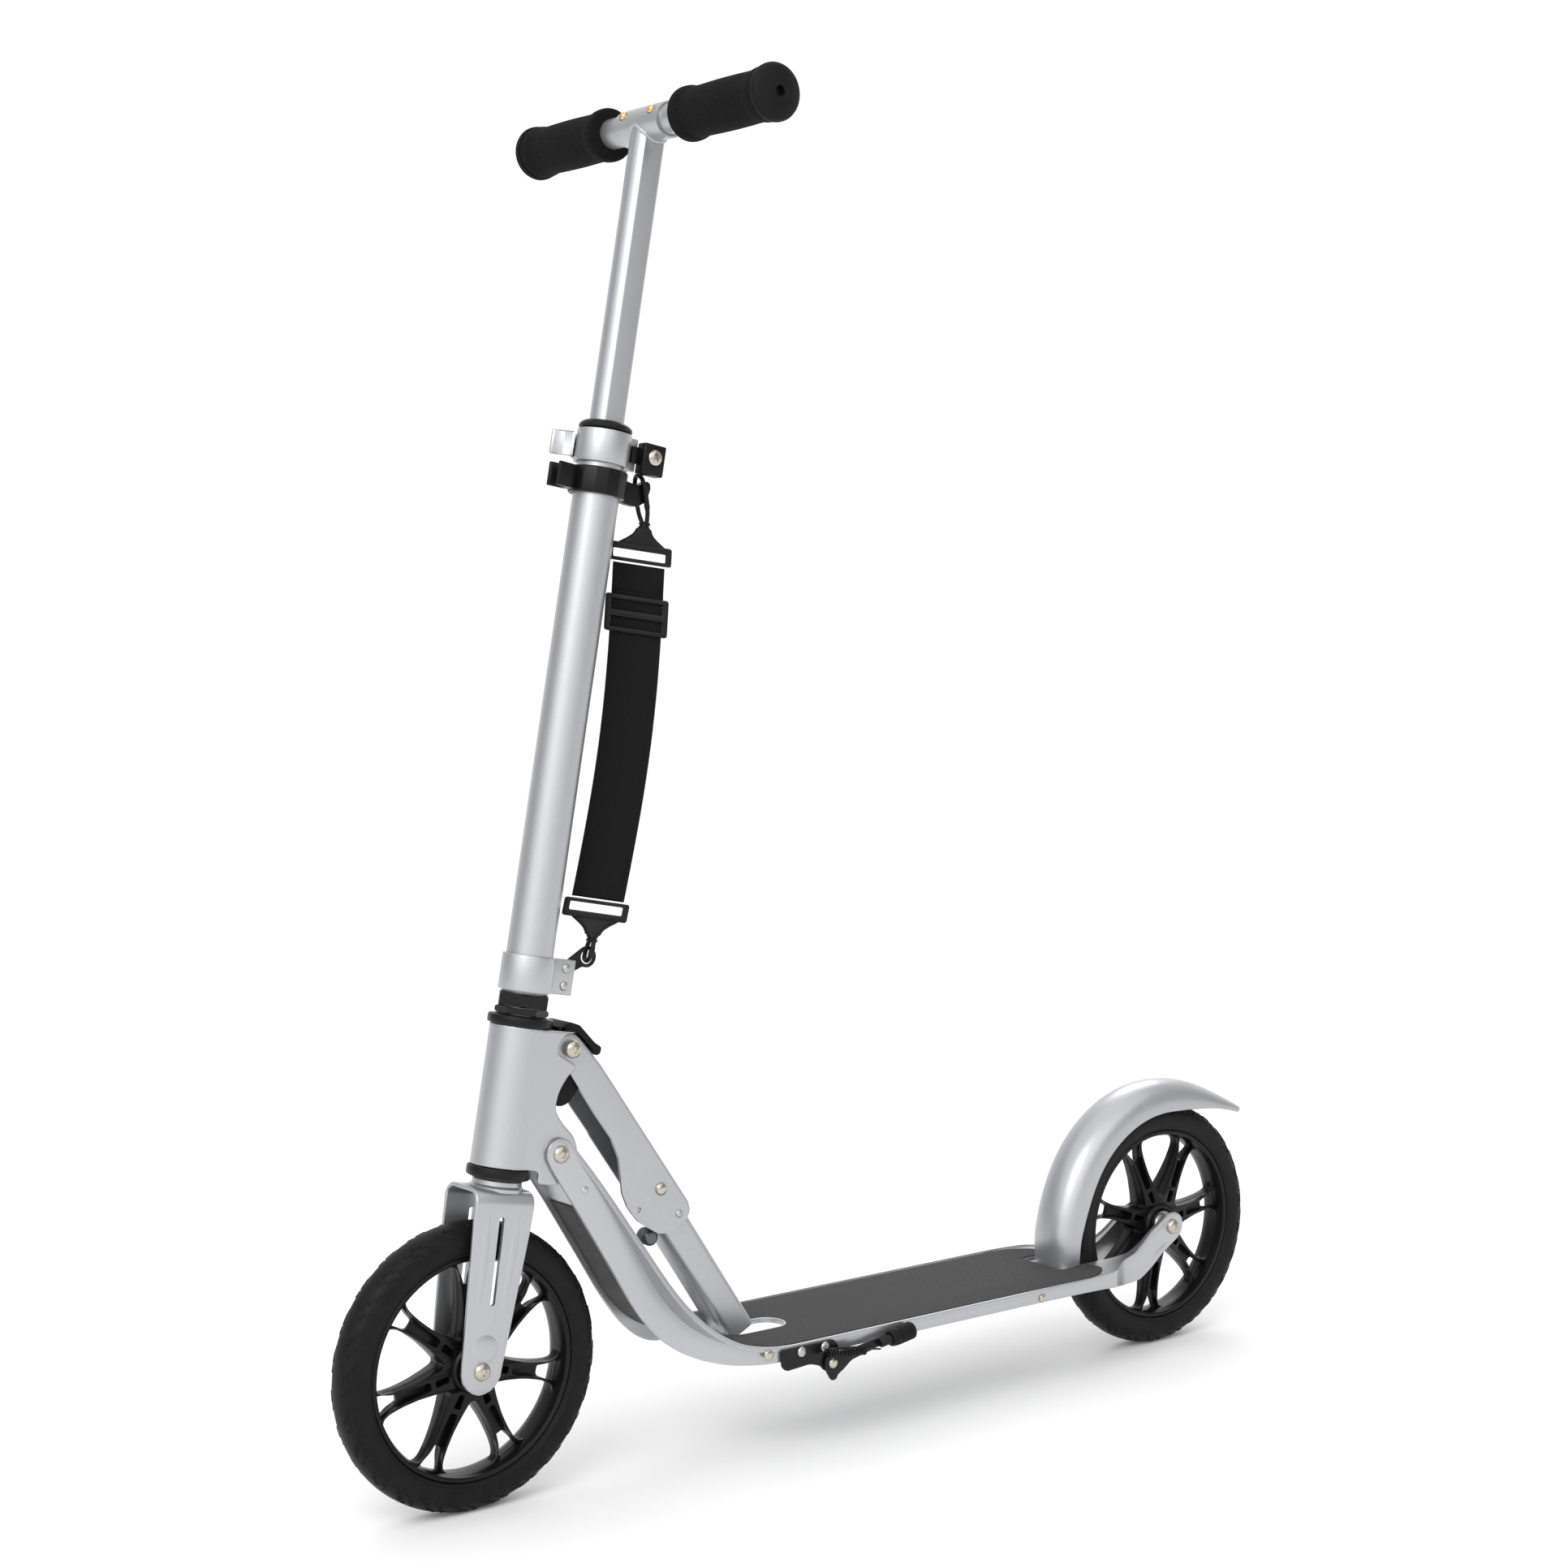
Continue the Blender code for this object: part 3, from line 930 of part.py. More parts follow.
# ---------------------------------------------------------------- side stand under the left deck edge
ky = DECK_HW + GAP
kx0 = HB - 0.2300
kz = DECK_Z - 0.0015
kb = [(kx0, kz), (kx0, kz - 0.0125), (kx0 - 0.0040, kz - 0.0165), (kx0 - 0.0260, kz - 0.0150), (kx0 - 0.0360, kz - 0.0180),
      (kx0 - 0.0400, kz - 0.0230), (kx0 - 0.0480, kz - 0.0240), (kx0 - 0.0530, kz - 0.0190), (kx0 - 0.0530, kz - 0.0050),
      (kx0 - 0.0490, kz)]
stand = plate("stand_bracket", kb, ky, ky + 0.0024)
KP = Vector((kx0 - 0.0455, 0, kz - 0.0170))
for x in (HB - 0.2480, HB - 0.2700):
    cut(stand, rod("c_b", (x, 0, DECK_Z - 0.0056), (x, 0.1, DECK_Z - 0.0056), 0.0022, 12, cutters))
cut(stand, rod("c_p", KP, KP + Vector((0, 0.1, 0)), 0.0024, 12, cutters))
paint(stand, "steel")
for i, x in enumerate((HB - 0.2480, HB - 0.2700)):
    m = Matrix.Translation((x, ky + 0.0024 + GAP, DECK_Z - 0.0056)) @ ALONG_Y
    b = turned("stand_bolt_%d" % (i + 1), [(0, 0.0016), (0.0030, 0.0015), (0.0038, 0.0009), (0.0038, 0), (0.0020, 0),
                                           (0.0020, -0.0070), (0, -0.0070)], 12, m)
    paint(b, "zinc")
LY0, LY1 = ky + 0.0024 + GAP, ky + 0.0050
leg = [(KP.x + 0.0075, KP.z + 0.0020), (KP.x + 0.0060, KP.z - 0.0050), (KP.x + 0.0010, KP.z - 0.0135),
       (KP.x - 0.0035, KP.z - 0.0130), (KP.x - 0.0050, KP.z - 0.0095), (KP.x - 0.0100, KP.z - 0.0070),
       (KP.x - 0.0180, KP.z - 0.0010), (KP.x - 0.0520, KP.z + 0.0060), (KP.x - 0.0520, KP.z + 0.0120),
       (KP.x - 0.0200, KP.z + 0.0075), (KP.x + 0.0040, KP.z + 0.0075)]
legob = plate("stand_leg", leg, LY0, LY1)
cut(legob, rod("c_l", KP, KP + Vector((0, 0.1, 0)), 0.0024, 12, cutters))
mleg = Matrix.Translation((KP.x - 0.050, (LY0 + LY1) / 2 + 0.0026, KP.z + 0.0083)) @ \
    Matrix.Rotation(math.radians(-90 + 9), 4, "Y")
bar = turned("lb", [(0, 0.0240), (0.0036, 0.0240), (0.0036, -0.0060), (0, -0.0060)], 14, mleg)
fuse(legob, bar)
paint(legob, "steel")
footob = turned("stand_foot", [(0.0037 + GAP, 0.0040), (0.0058, 0.0040), (0.0066, 0.0080), (0.0068, 0.0240), (0.0060, 0.0262),
                               (0.0030, 0.0262), (0.0030, 0.0243), (0.0037 + GAP, 0.0243)][::-1], 16, mleg)
paint(footob, "rubber")
m = Matrix.Translation((KP.x, (ky + LY1) / 2, KP.z)) @ ALONG_Y
half = (LY1 - ky) / 2
rv = turned("stand_pivot", [(0, half + GAP + 0.0018), (0.0026, half + GAP + 0.0013), (0.0040, half + GAP),
                            (0.0021, half + GAP), (0.0021, -half + 0.0004), (0, -half + 0.0004)], 14, m)
paint(rv, "bright")
# over-centre spring from the bracket to the leg
sp0 = Vector((kx0 - 0.0300, LY1 + 0.0042, kz - 0.0060))
sp1 = Vector((kx0 - 0.0880, LY1 + 0.0042, kz - 0.0130))
ax_d = (sp1 - sp0)
turns, rr = 8, 0.0030
q = ax_d.normalized().to_track_quat("Z", "Y")
pts = []
for i in range(turns * 5 + 1):
    g = 2 * math.pi * i / 5
    pts.append(sp0 + ax_d * (0.12 + 0.62 * i / (turns * 5)) + q @ Vector((rr * math.cos(g), rr * math.sin(g), 0)))
spring = pipe("stand_spring", [sp0] + pts + [sp1], 0.0007, 0)
paint(spring, "steel")

# every moving piece keeps its origin on the axis that it turns or slides about
PIVOTS = [
    (NECK_P, ("head_tube", "upper_strut_bolt", "upper_cup", "lower_cup", "fold_cover")),
    (A0, ("fork", "steerer_tube", "headset_locknut", "headset_nut", "stem_tube", "stem_collar", "strap_eye",
          "collar_screw", "height_bush", "clamp_ring", "clamp_nut_block", "clamp_screw", "lever_pin", "strap_ring",
          "strap_webbing", "strap_slider", "strap_hook_upper", "strap_hook_lower", "front_axle_bolt")),
    (FRONT, ("front_tyre", "front_rim", "front_bearing_core")),
    (REAR, ("rear_tyre", "rear_rim", "rear_bearing_core")),
    (sp(0, S_BAR), ("t_bar", "handle_tube_left", "grip_left", "end_cap_left", "handle_tube_right", "grip_right",
                    "end_cap_right", "snap_button_left", "snap_button_right")),
    (sp(-0.0218, qm, cy), ("clamp_lever",)),
    (UPPER_P, ("strut_bracket", "knee_rivet", "catch_pin")),
    (FOOT_P, ("strut_tube",)),
    (REL_P, ("fold_release",)),
    (BRAKE_P, ("brake_fender",)),
    (Vector((KP.x, LY0, KP.z)), ("stand_leg", "stand_foot", "stand_spring")),
]
for point, names in PIVOTS:
    for name in names:
        ob = parts.objects[name]
        ob.data.transform(Matrix.Translation(-point))
        ob.location = point

for ob in parts.objects:
    ob.data.name = ob.name
for ob in cutters.objects:
    ob.hide_render = True
    ob.display_type = "WIRE"
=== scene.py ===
import json
import math

import bmesh
import bpy
import numpy as np
from mathutils import Matrix, Vector

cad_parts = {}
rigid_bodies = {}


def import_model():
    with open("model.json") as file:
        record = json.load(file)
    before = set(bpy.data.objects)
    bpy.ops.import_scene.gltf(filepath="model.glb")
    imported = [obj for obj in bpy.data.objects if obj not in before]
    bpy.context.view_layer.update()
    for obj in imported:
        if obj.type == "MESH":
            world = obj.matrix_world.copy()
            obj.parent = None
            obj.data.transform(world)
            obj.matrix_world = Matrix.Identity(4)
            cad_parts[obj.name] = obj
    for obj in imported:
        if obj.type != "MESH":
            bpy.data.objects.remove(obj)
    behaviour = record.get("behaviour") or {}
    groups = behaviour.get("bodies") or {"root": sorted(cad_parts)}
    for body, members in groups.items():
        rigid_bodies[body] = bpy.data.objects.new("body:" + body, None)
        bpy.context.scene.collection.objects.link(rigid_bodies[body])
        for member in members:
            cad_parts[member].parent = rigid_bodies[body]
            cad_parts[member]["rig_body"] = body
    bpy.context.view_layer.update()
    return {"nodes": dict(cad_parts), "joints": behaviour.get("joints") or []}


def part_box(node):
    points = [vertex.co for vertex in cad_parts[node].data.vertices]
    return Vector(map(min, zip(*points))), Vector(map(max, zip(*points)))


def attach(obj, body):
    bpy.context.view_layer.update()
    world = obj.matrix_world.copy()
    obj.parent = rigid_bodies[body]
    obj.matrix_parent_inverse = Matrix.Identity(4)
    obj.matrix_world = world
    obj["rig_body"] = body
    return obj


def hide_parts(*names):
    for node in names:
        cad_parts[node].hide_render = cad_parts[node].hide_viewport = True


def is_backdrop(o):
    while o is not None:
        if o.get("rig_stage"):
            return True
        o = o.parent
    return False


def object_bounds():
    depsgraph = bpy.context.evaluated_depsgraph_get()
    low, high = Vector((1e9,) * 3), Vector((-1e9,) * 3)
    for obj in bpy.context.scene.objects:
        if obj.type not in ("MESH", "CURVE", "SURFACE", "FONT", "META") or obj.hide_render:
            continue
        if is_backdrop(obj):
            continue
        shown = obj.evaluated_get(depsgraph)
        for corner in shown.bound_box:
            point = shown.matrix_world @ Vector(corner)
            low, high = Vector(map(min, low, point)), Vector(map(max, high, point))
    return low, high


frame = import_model()

# Looks of the kick scooter. Metres; +X forward, +Y the rider's left, +Z up. Each piece is built in the place
# of the CAD node that it stands for, in the local frame of the joint or tube that it belongs to.

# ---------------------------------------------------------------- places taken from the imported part
JOINTS = {j["name"]: j for j in frame["joints"]}


def pivot(name):
    return Vector(JOINTS[name]["pos_m"])


def local_frame(origin, along, name_axis):
    """Side-view frame with X or Z along a direction and Y across the scooter."""
    d = along.normalized()
    other = Vector((d.z, 0, -d.x))
    x, y, z = (other, Vector((0, 1, 0)), d) if name_axis == "Z" else (d, Vector((0, -1, 0)), other)
    m = Matrix((x, y, z)).transposed().to_4x4()
    m.translation = origin
    return m


STEER = local_frame(pivot("steer"), Vector(JOINTS["steer"]["axis"]), "Z")
ALONG_Y = Matrix.Rotation(math.radians(-90), 4, "X")      # local Z becomes the scooter's left
SIDE = Matrix(((1, 0, 0, 0), (0, 0, -1, 0), (0, 1, 0, 0), (0, 0, 0, 1)))   # drawing plane to side view


def node_points(node, m):
    inv = m.inverted()
    return np.array([inv @ v.co for v in frame["nodes"][node].data.vertices])


def span(node, m):
    """Lowest and highest local coordinates of a CAD node."""
    p = node_points(node, m)
    return p.min(0), p.max(0)


def centre(node):
    lo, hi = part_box(node)
    return (lo + hi) / 2


def sp(x, s, y=0.0):
    """Ahead of, along and beside the steering axis."""
    return STEER @ Vector((x, y, s))


# ---------------------------------------------------------------- materials
class Shader:
    """Small builder for node materials in object space."""

    def __init__(self, name, colour, metallic=0.0, rough=0.5, specular=0.5, coat=0.0):
        self.m = bpy.data.materials.new(name)
        self.m.use_nodes = True
        self.t = self.m.node_tree
        self.b = self.t.nodes["Principled BSDF"]
        self.b.inputs["Base Color"].default_value = (*colour, 1)
        self.b.inputs["Metallic"].default_value = metallic
        self.b.inputs["Roughness"].default_value = rough
        self.b.inputs["Specular IOR Level"].default_value = specular
        self.b.inputs["Coat Weight"].default_value = coat
        self.b.inputs["Coat Roughness"].default_value = 0.25
        self.at = self.node("ShaderNodeTexCoord").outputs["Object"]
        self.normal = None

    def node(self, kind, **sockets):
        n = self.t.nodes.new(kind)
        for k, v in sockets.items():
            n.inputs[k.replace("_", " ")].default_value = v
        return n

    def link(self, a, b):
        self.t.links.new(a, b)

    def noise(self, scale, detail=2.0, vector=None):
        n = self.node("ShaderNodeTexNoise", Scale=scale, Detail=detail, Roughness=0.6)
        self.link(vector or self.at, n.inputs["Vector"])
        return n.outputs["Fac"]

    def cells(self, scale, vector=None):
        n = self.node("ShaderNodeTexVoronoi", Scale=scale)
        self.link(vector or self.at, n.inputs["Vector"])
        return n.outputs["Distance"]

    def ramp(self, fac, stops):
        n = self.t.nodes.new("ShaderNodeValToRGB")
        el = n.color_ramp.elements
        while len(el) < len(stops):
            el.new(0.5)
        for e, (p, c) in zip(el, stops):
            e.position = p
            e.color = (*c, 1) if isinstance(c, tuple) else (c, c, c, 1)
        self.link(fac, n.inputs["Fac"])
        return n.outputs["Color"]

    def tint(self, fac, stops):
        self.link(self.ramp(fac, stops), self.b.inputs["Base Color"])
        return self

    def gloss(self, fac, low, high):
        n = self.node("ShaderNodeMapRange")
        n.inputs["To Min"].default_value = low
        n.inputs["To Max"].default_value = high
        self.link(fac, n.inputs["Value"])
        self.link(n.outputs["Result"], self.b.inputs["Roughness"])
        return self

    def bump(self, fac, depth, strength=1.0):
        n = self.node("ShaderNodeBump", Strength=strength, Distance=depth)
        self.link(fac, n.inputs["Height"])
        if self.normal:
            self.link(self.normal, n.inputs["Normal"])
        self.normal = n.outputs["Normal"]
        self.link(self.normal, self.b.inputs["Normal"])
        return self


def shade(c, f):
    return tuple(x * f for x in c)


def silver(name="satin_silver", colour=(0.47, 0.48, 0.495), rough=0.34, grain=0.00003):
    s = Shader(name, colour, 0.82, rough)
    fleck = s.noise(2600, 3)
    s.tint(fleck, [(0.25, shade(colour, 0.86)), (0.55, colour), (0.8, shade(colour, 1.14))])
    s.gloss(s.noise(38, 4), rough - 0.05, rough + 0.07)
    return s.bump(fleck, grain, 0.35).m


def metal(name, colour, rough, streak=0.0):
    s = Shader(name, colour, 1.0, rough)
    n = s.noise(420, 4)
    s.tint(n, [(0.3, shade(colour, 0.82)), (0.7, colour)])
    s.gloss(s.noise(900, 3), max(rough - 0.05, 0.04), rough + 0.08)
    return s.bump(n, 0.00003 + streak, 0.3).m


def plastic(name, colour, rough, grain, depth, specular=0.5):
    s = Shader(name, colour, 0.0, rough, specular)
    n = s.noise(grain, 3)
    s.tint(s.noise(60, 4), [(0.3, shade(colour, 0.8)), (0.7, shade(colour, 1.25))])
    s.gloss(s.noise(45, 4), rough - 0.06, rough + 0.08)
    return s.bump(n, depth, 0.5).m


def foam_stuff():
    base = (0.0040, 0.0040, 0.0041)
    s = Shader("foam_skin", base, 0.0, 0.95, 0.07)
    s.b.inputs["Sheen Weight"].default_value = 0.015
    s.b.inputs["Sheen Roughness"].default_value = 0.6
    pore_depth_and_shade = s.cells(1300)
    # the cell pattern darkens the colour in each pore and lightens the ridges between them: painted shade in
    # the pores and painted highlight on the ridges; the same pattern also gives the real bump
    s.tint(pore_depth_and_shade, [(0.0, shade(base, 0.3)), (0.35, base), (0.75, shade(base, 2.6))])
    return s.bump(pore_depth_and_shade, 0.0003, 0.8).bump(s.noise(520, 3), 0.0003, 0.6).m


def grit_stuff():
    base = (0.050, 0.050, 0.051)
    s = Shader("grit_sheet", base, 0.0, 0.9, 0.20)
    grit = s.noise(3200, 2)
    s.tint(grit, [(0.30, shade(base, 0.35)), (0.48, base), (0.62, shade(base, 1.5)),
        (0.72, shade(base, 4.2))])
    return s.bump(grit, 0.00012, 0.8).m


def webbing_stuff():
    base = (0.006, 0.006, 0.0062)
    s = Shader("woven_webbing", base, 0.0, 0.85, 0.12)
    s.b.inputs["Sheen Weight"].default_value = 0.03
    n = s.node("ShaderNodeTexWave", Scale=560.0, Distortion=0.6, Detail=1.0)
    n.bands_direction = "Y"
    s.link(s.at, n.inputs["Vector"])
    s.tint(n.outputs["Fac"], [(0.2, shade(base, 0.5)), (0.8, shade(base, 1.8))])
    return s.bump(n.outputs["Fac"], 0.00018, 0.7).bump(s.noise(2400, 2), 0.0001, 0.5).m


def tyre_stuff():
    base = (0.0042, 0.0042, 0.0044)
    s = Shader("tyre_rubber", base, 0.0, 0.5, 0.17)
    s.tint(s.noise(90, 5), [(0.3, shade(base, 0.75)), (0.7, shade(base, 1.5))])
    s.gloss(s.noise(70, 4), 0.40, 0.60)
    return s.bump(s.noise(1500, 4), 0.00008, 0.6).m


MAT = {
    "silver_alloy": silver(),
    "bright_steel": metal("nickel_plate", (0.56, 0.52, 0.46), 0.09),
    "zinc_steel": metal("zinc_plate", (0.56, 0.56, 0.54), 0.30),
    "tyre": tyre_stuff(),
    "wheel_plastic": plastic("wheel_nylon", (0.0040, 0.0040, 0.0042), 0.30, 2200, 0.00005, 0.20),
    "black_plastic": plastic("black_plastic", (0.0045, 0.0045, 0.0047), 0.33, 1900, 0.00006, 0.22),
    "grip_sheet": grit_stuff(),
    "foam": foam_stuff(),
    "black_rubber": plastic("black_rubber", (0.0048, 0.0048, 0.0050), 0.50, 1500, 0.00008, 0.16),
    "black_steel": plastic("black_paint", (0.0050, 0.0050, 0.0053), 0.28, 1200, 0.00006, 0.26),
    "webbing": webbing_stuff(),
    "brass": metal("brass_plate", (0.80, 0.53, 0.26), 0.16),
}
GUNMETAL = metal("gunmetal", (0.16, 0.165, 0.17), 0.38)
# flat dark grey for the sheet under the neck: painted shade for the shaded channel, not the scooter's own
# colour
PAINTED_SHADE_GREY = plastic("painted_shade_grey", (0.066, 0.066, 0.067), 0.70, 2600, 0.00006, 0.15)


# ---------------------------------------------------------------- mesh helpers
def mesh(verts, faces):
    me = bpy.data.meshes.new("piece")
    me.from_pydata([tuple(v) for v in verts], [], faces)
    bm = bmesh.new()
    bm.from_mesh(me)
    bmesh.ops.remove_doubles(bm, verts=bm.verts, dist=2e-6)
    bmesh.ops.recalc_face_normals(bm, faces=bm.faces)
    bm.to_mesh(me)
    bm.free()
    return me


def moved(me, m):
    me.transform(m)
    return me


def join(*meshes):
    bm = bmesh.new()
    for me in meshes:
        bm.from_mesh(me)
    out = bpy.data.meshes.new("piece")
    bm.to_mesh(out)
    bm.free()
    return out


def evaluated(ob):
    bpy.context.view_layer.update()
    me = bpy.data.meshes.new_from_object(ob.evaluated_get(bpy.context.evaluated_depsgraph_get()))
    bpy.data.objects.remove(ob, do_unlink=True)
    return me


def temp(data):
    ob = bpy.data.objects.new("temp", data)
    bpy.context.scene.collection.objects.link(ob)
    return ob


def boolean(me, other, op):
    a, b = temp(me), temp(other)
    mod = a.modifiers.new("b", "BOOLEAN")
    mod.operation, mod.solver, mod.object = op, "EXACT", b
    out = evaluated(a)
    bpy.data.objects.remove(b, do_unlink=True)
    return out


def cut(me, *others):
    for o in others:
        me = boolean(me, o, "DIFFERENCE")
    return me


def bevelled(me, width, segments=2, angle=40):
    ob = temp(me)
    mod = ob.modifiers.new("b", "BEVEL")
    mod.width, mod.segments, mod.limit_method, mod.angle_limit = width, segments, "ANGLE", math.radians(angle)
    return evaluated(ob)


def melted(me, voxel, passes=3):
    """Voxel remesh and smoothing, for castings whose corners run into each other."""
    ob = temp(me)
    r = ob.modifiers.new("r", "REMESH")
    r.mode, r.voxel_size = "VOXEL", voxel
    s = ob.modifiers.new("s", "SMOOTH")
    s.factor, s.iterations = 0.5, passes
    return evaluated(ob)


def lathe(profile, m, segs=96):
    """Surface turned about local Z from (radius, height) points."""
    verts, rows = [], []
    for r, z in profile:
        if r < 1e-7:
            rows.append([len(verts)] * segs)
            verts.append((0, 0, z))
        else:
            rows.append(list(range(len(verts), len(verts) + segs)))
            verts += [(r * math.cos(2 * math.pi * i / segs), r * math.sin(2 * math.pi * i / segs), z)
                      for i in range(segs)]
    faces = []
    for a, b in zip(rows, rows[1:]):
        for i in range(segs):
            j = (i + 1) % segs
            q = list(dict.fromkeys((a[i], a[j], b[j], b[i])))
            if len(q) > 2:
                faces.append(q)
    return moved(mesh(verts, faces), m)


def closed(profile):
    return profile + profile[:1]


def eased(pts, r, n=4, loop=True):
    """Outline or line with its corners rounded by up to r."""
    out = []
    k = len(pts)
    for i, p in enumerate(pts):
        p = Vector(p[:2])
        if not loop and i in (0, k - 1):
            out.append(tuple(p))
            continue
        a, b = Vector(pts[i - 1][:2]), Vector(pts[(i + 1) % k][:2])
        ta = min(r, 0.45 * (a - p).length)
        tb = min(r, 0.45 * (b - p).length)
        pa, pb = p + (a - p).normalized() * ta, p + (b - p).normalized() * tb
        for j in range(n + 1):
            g = j / n
            out.append(tuple(pa * (1 - g) ** 2 + p * 2 * g * (1 - g) + pb * g * g))
    return out


def flowing(pts, n=6, loop=True):
    """Smooth curve through points of any dimension."""
    p = [np.array(q, float) for q in pts]
    k = len(p)
    out = []
    for i in range(k if loop else k - 1):
        a, b, c, d = (p[(i - 1) % k], p[i], p[(i + 1) % k], p[(i + 2) % k]) if loop else (
            p[max(i - 1, 0)], p[i], p[i + 1], p[min(i + 2, k - 1)])
        for j in range(n):
            t = j / n
            out.append(tuple(0.5 * (2 * b + (c - a) * t + (2 * a - 5 * b + 4 * c - d) * t * t
                                    + (3 * b - a - 3 * c + d) * t ** 3)))
    return out if loop else out + [tuple(p[-1])]


def arc(cx, cy, r, a0, a1, n):
    return [(cx + r * math.cos(math.radians(a0 + (a1 - a0) * i / n)),
             cy + r * math.sin(math.radians(a0 + (a1 - a0) * i / n))) for i in range(n + 1)]


def area(pts):
    return 0.5 * sum(a[0] * b[1] - b[0] * a[1] for a, b in zip(pts, pts[1:] + pts[:1]))


def plate(outline, half, m, holes=(), edge=0.0006, res=2):
    """Flat plate with holes and rolled edges, drawn in local XY and thick along local Z."""
    cu = bpy.data.curves.new("plate", "CURVE")
    cu.dimensions, cu.fill_mode = "2D", "BOTH"
    cu.extrude, cu.bevel_depth, cu.bevel_resolution = half - edge, edge, res
    cu.offset = -edge
    for loop, sign in [(outline, 1)] + [(h, -1) for h in holes]:
        loop = [q[:2] for q in loop]
        if area(loop) * sign < 0:
            loop = loop[::-1]
        s = cu.splines.new("POLY")
        s.points.add(len(loop) - 1)
        for q, (x, y) in zip(s.points, loop):
            q.co = (x, y, 0, 1)
        s.use_cyclic_u = True
    me = evaluated(temp(cu))
    bm = bmesh.new()
    bm.from_mesh(me)
    bmesh.ops.remove_doubles(bm, verts=bm.verts, dist=2e-6)
    bm.to_mesh(me)
    bm.free()
    return moved(me, m)


def tube(pts, r, res=3, loop=False):
    """Round bar through points in the row frame."""
    cu = bpy.data.curves.new("tube", "CURVE")
    cu.dimensions, cu.bevel_depth, cu.bevel_resolution, cu.use_fill_caps = "3D", r, res, True
    s = cu.splines.new("POLY")
    s.points.add(len(pts) - 1)
    for q, p in zip(s.points, pts):
        q.co = (*p, 1)
    s.use_cyclic_u = loop
    return evaluated(temp(cu))


def loft(rings, loop=False):
    n, k = len(rings[0]), len(rings)
    faces = []
    for j in range(k if loop else k - 1):
        a, b = j * n, ((j + 1) % k) * n
        faces += [(a + i, a + (i + 1) % n, b + (i + 1) % n, b + i) for i in range(n)]
    if not loop:
        faces += [tuple(range(n - 1, -1, -1)), tuple((k - 1) * n + i for i in range(n))]
    return mesh([p for r in rings for p in r], faces)


def between(rings, step):
    """More rings between key rings, each point on its own monotone curve, about step apart."""
    p = np.array([[tuple(v) for v in r] for r in rings], float)
    gaps = np.linalg.norm(np.diff(p.mean(1), axis=0), axis=1)
    gaps = np.maximum(gaps, 1e-4)
    d = np.diff(p, axis=0) / gaps[:, None, None]
    m = np.zeros_like(p)
    m[0], m[-1] = d[0], d[-1]
    both = d[:-1] * d[1:] > 0
    total = d[:-1] + d[1:]
    m[1:-1] = np.where(both, 2 * d[:-1] * d[1:] / np.where(np.abs(total) < 1e-12, 1, total), 0)
    out = []
    for i, g in enumerate(gaps):
        n = max(1, round(g / step))
        for j in range(n):
            t = j / n
            out.append((2 * t ** 3 - 3 * t * t + 1) * p[i] + (t ** 3 - 2 * t * t + t) * g * m[i]
                       + (3 * t * t - 2 * t ** 3) * p[i + 1] + (t ** 3 - t * t) * g * m[i + 1])
    out.append(p[-1])
    return [[Vector(v) for v in r] for r in out]


def rod(a, b, r, segs=32, edge=0.0):
    """Straight round bar with eased ends."""
    a, b = Vector(a), Vector(b)
    d = b - a
    m = Matrix.Translation(a) @ d.to_track_quat("Z", "Y").to_matrix().to_4x4()
    h = d.length
    pro = [(0, 0), (r - edge, 0), (r - edge * 0.3, edge * 0.3), (r, edge), (r, h - edge),
        (r - edge * 0.3, h - edge * 0.3),
           (r - edge, h), (0, h)] if edge else [(0, 0), (r, 0), (r, h), (0, h)]
    return lathe(pro, m, segs)


def block(lo, hi, m, edge=0.0005, segments=2):
    x0, y0, z0 = lo
    x1, y1, z1 = hi
    v = [(x, y, z) for x in (x0, x1) for y in (y0, y1) for z in (z0, z1)]
    f = [(0, 1, 3, 2), (4, 6, 7, 5), (0, 4, 5, 1), (2, 3, 7, 6), (0, 2, 6, 4), (1, 5, 7, 3)]
    return moved(bevelled(mesh(v, f), edge, segments), m)


def piece(name, me, slot, *nodes, body=None, material=None, angle=32):
    """Show a mesh in place of CAD nodes, riding their body."""
    me.name = name
    ob = bpy.data.objects.new(name, me)
    bpy.context.scene.collection.objects.link(ob)
    me.materials.clear()
    me.materials.append(material or MAT[slot])
    for p in me.polygons:
        p.material_index = 0
        p.use_smooth = True
    me.set_sharp_from_angle(angle=math.radians(angle))
    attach(ob, body or frame["nodes"][nodes[0]]["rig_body"])
    if nodes:
        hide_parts(*nodes)
    return ob


def button_head(at, side, r, h, foot, hexr=0.0, depth=0.0017):
    """Domed head facing outward along Y, with a hexagon recess when hexr is given."""
    m = Matrix.Translation(at) @ Matrix.Rotation(math.radians(-90 * side), 4, "X")
    pro = [(0, h + foot)] + [(r * math.cos(math.radians(a)), foot + h * math.sin(math.radians(a)))
                             for a in (66, 52, 40, 28, 16, 5, -12)] + [(r * 0.9, foot - 0.0002),
                                 (0, foot - 0.0002)]
    me = lathe(pro, m, 48)
    if hexr:
        hexa = lathe([(0, h + foot + 0.002), (hexr, h + foot + 0.002), (hexr, foot + h - depth),
            (0, foot + h - depth)], m, 6)
        me = cut(me, hexa)
    return me


def bolt(name, node, at, half, r, h, slot, hexr=0.0, shank=0.003):
    heads = [button_head(at, s, r, h, half + 0.0003, hexr) for s in (1, -1)]
    y = Vector((0, half, 0))
    return piece(name, join(*heads, rod(at - y, at + y, shank, 24)), slot, node, angle=38)


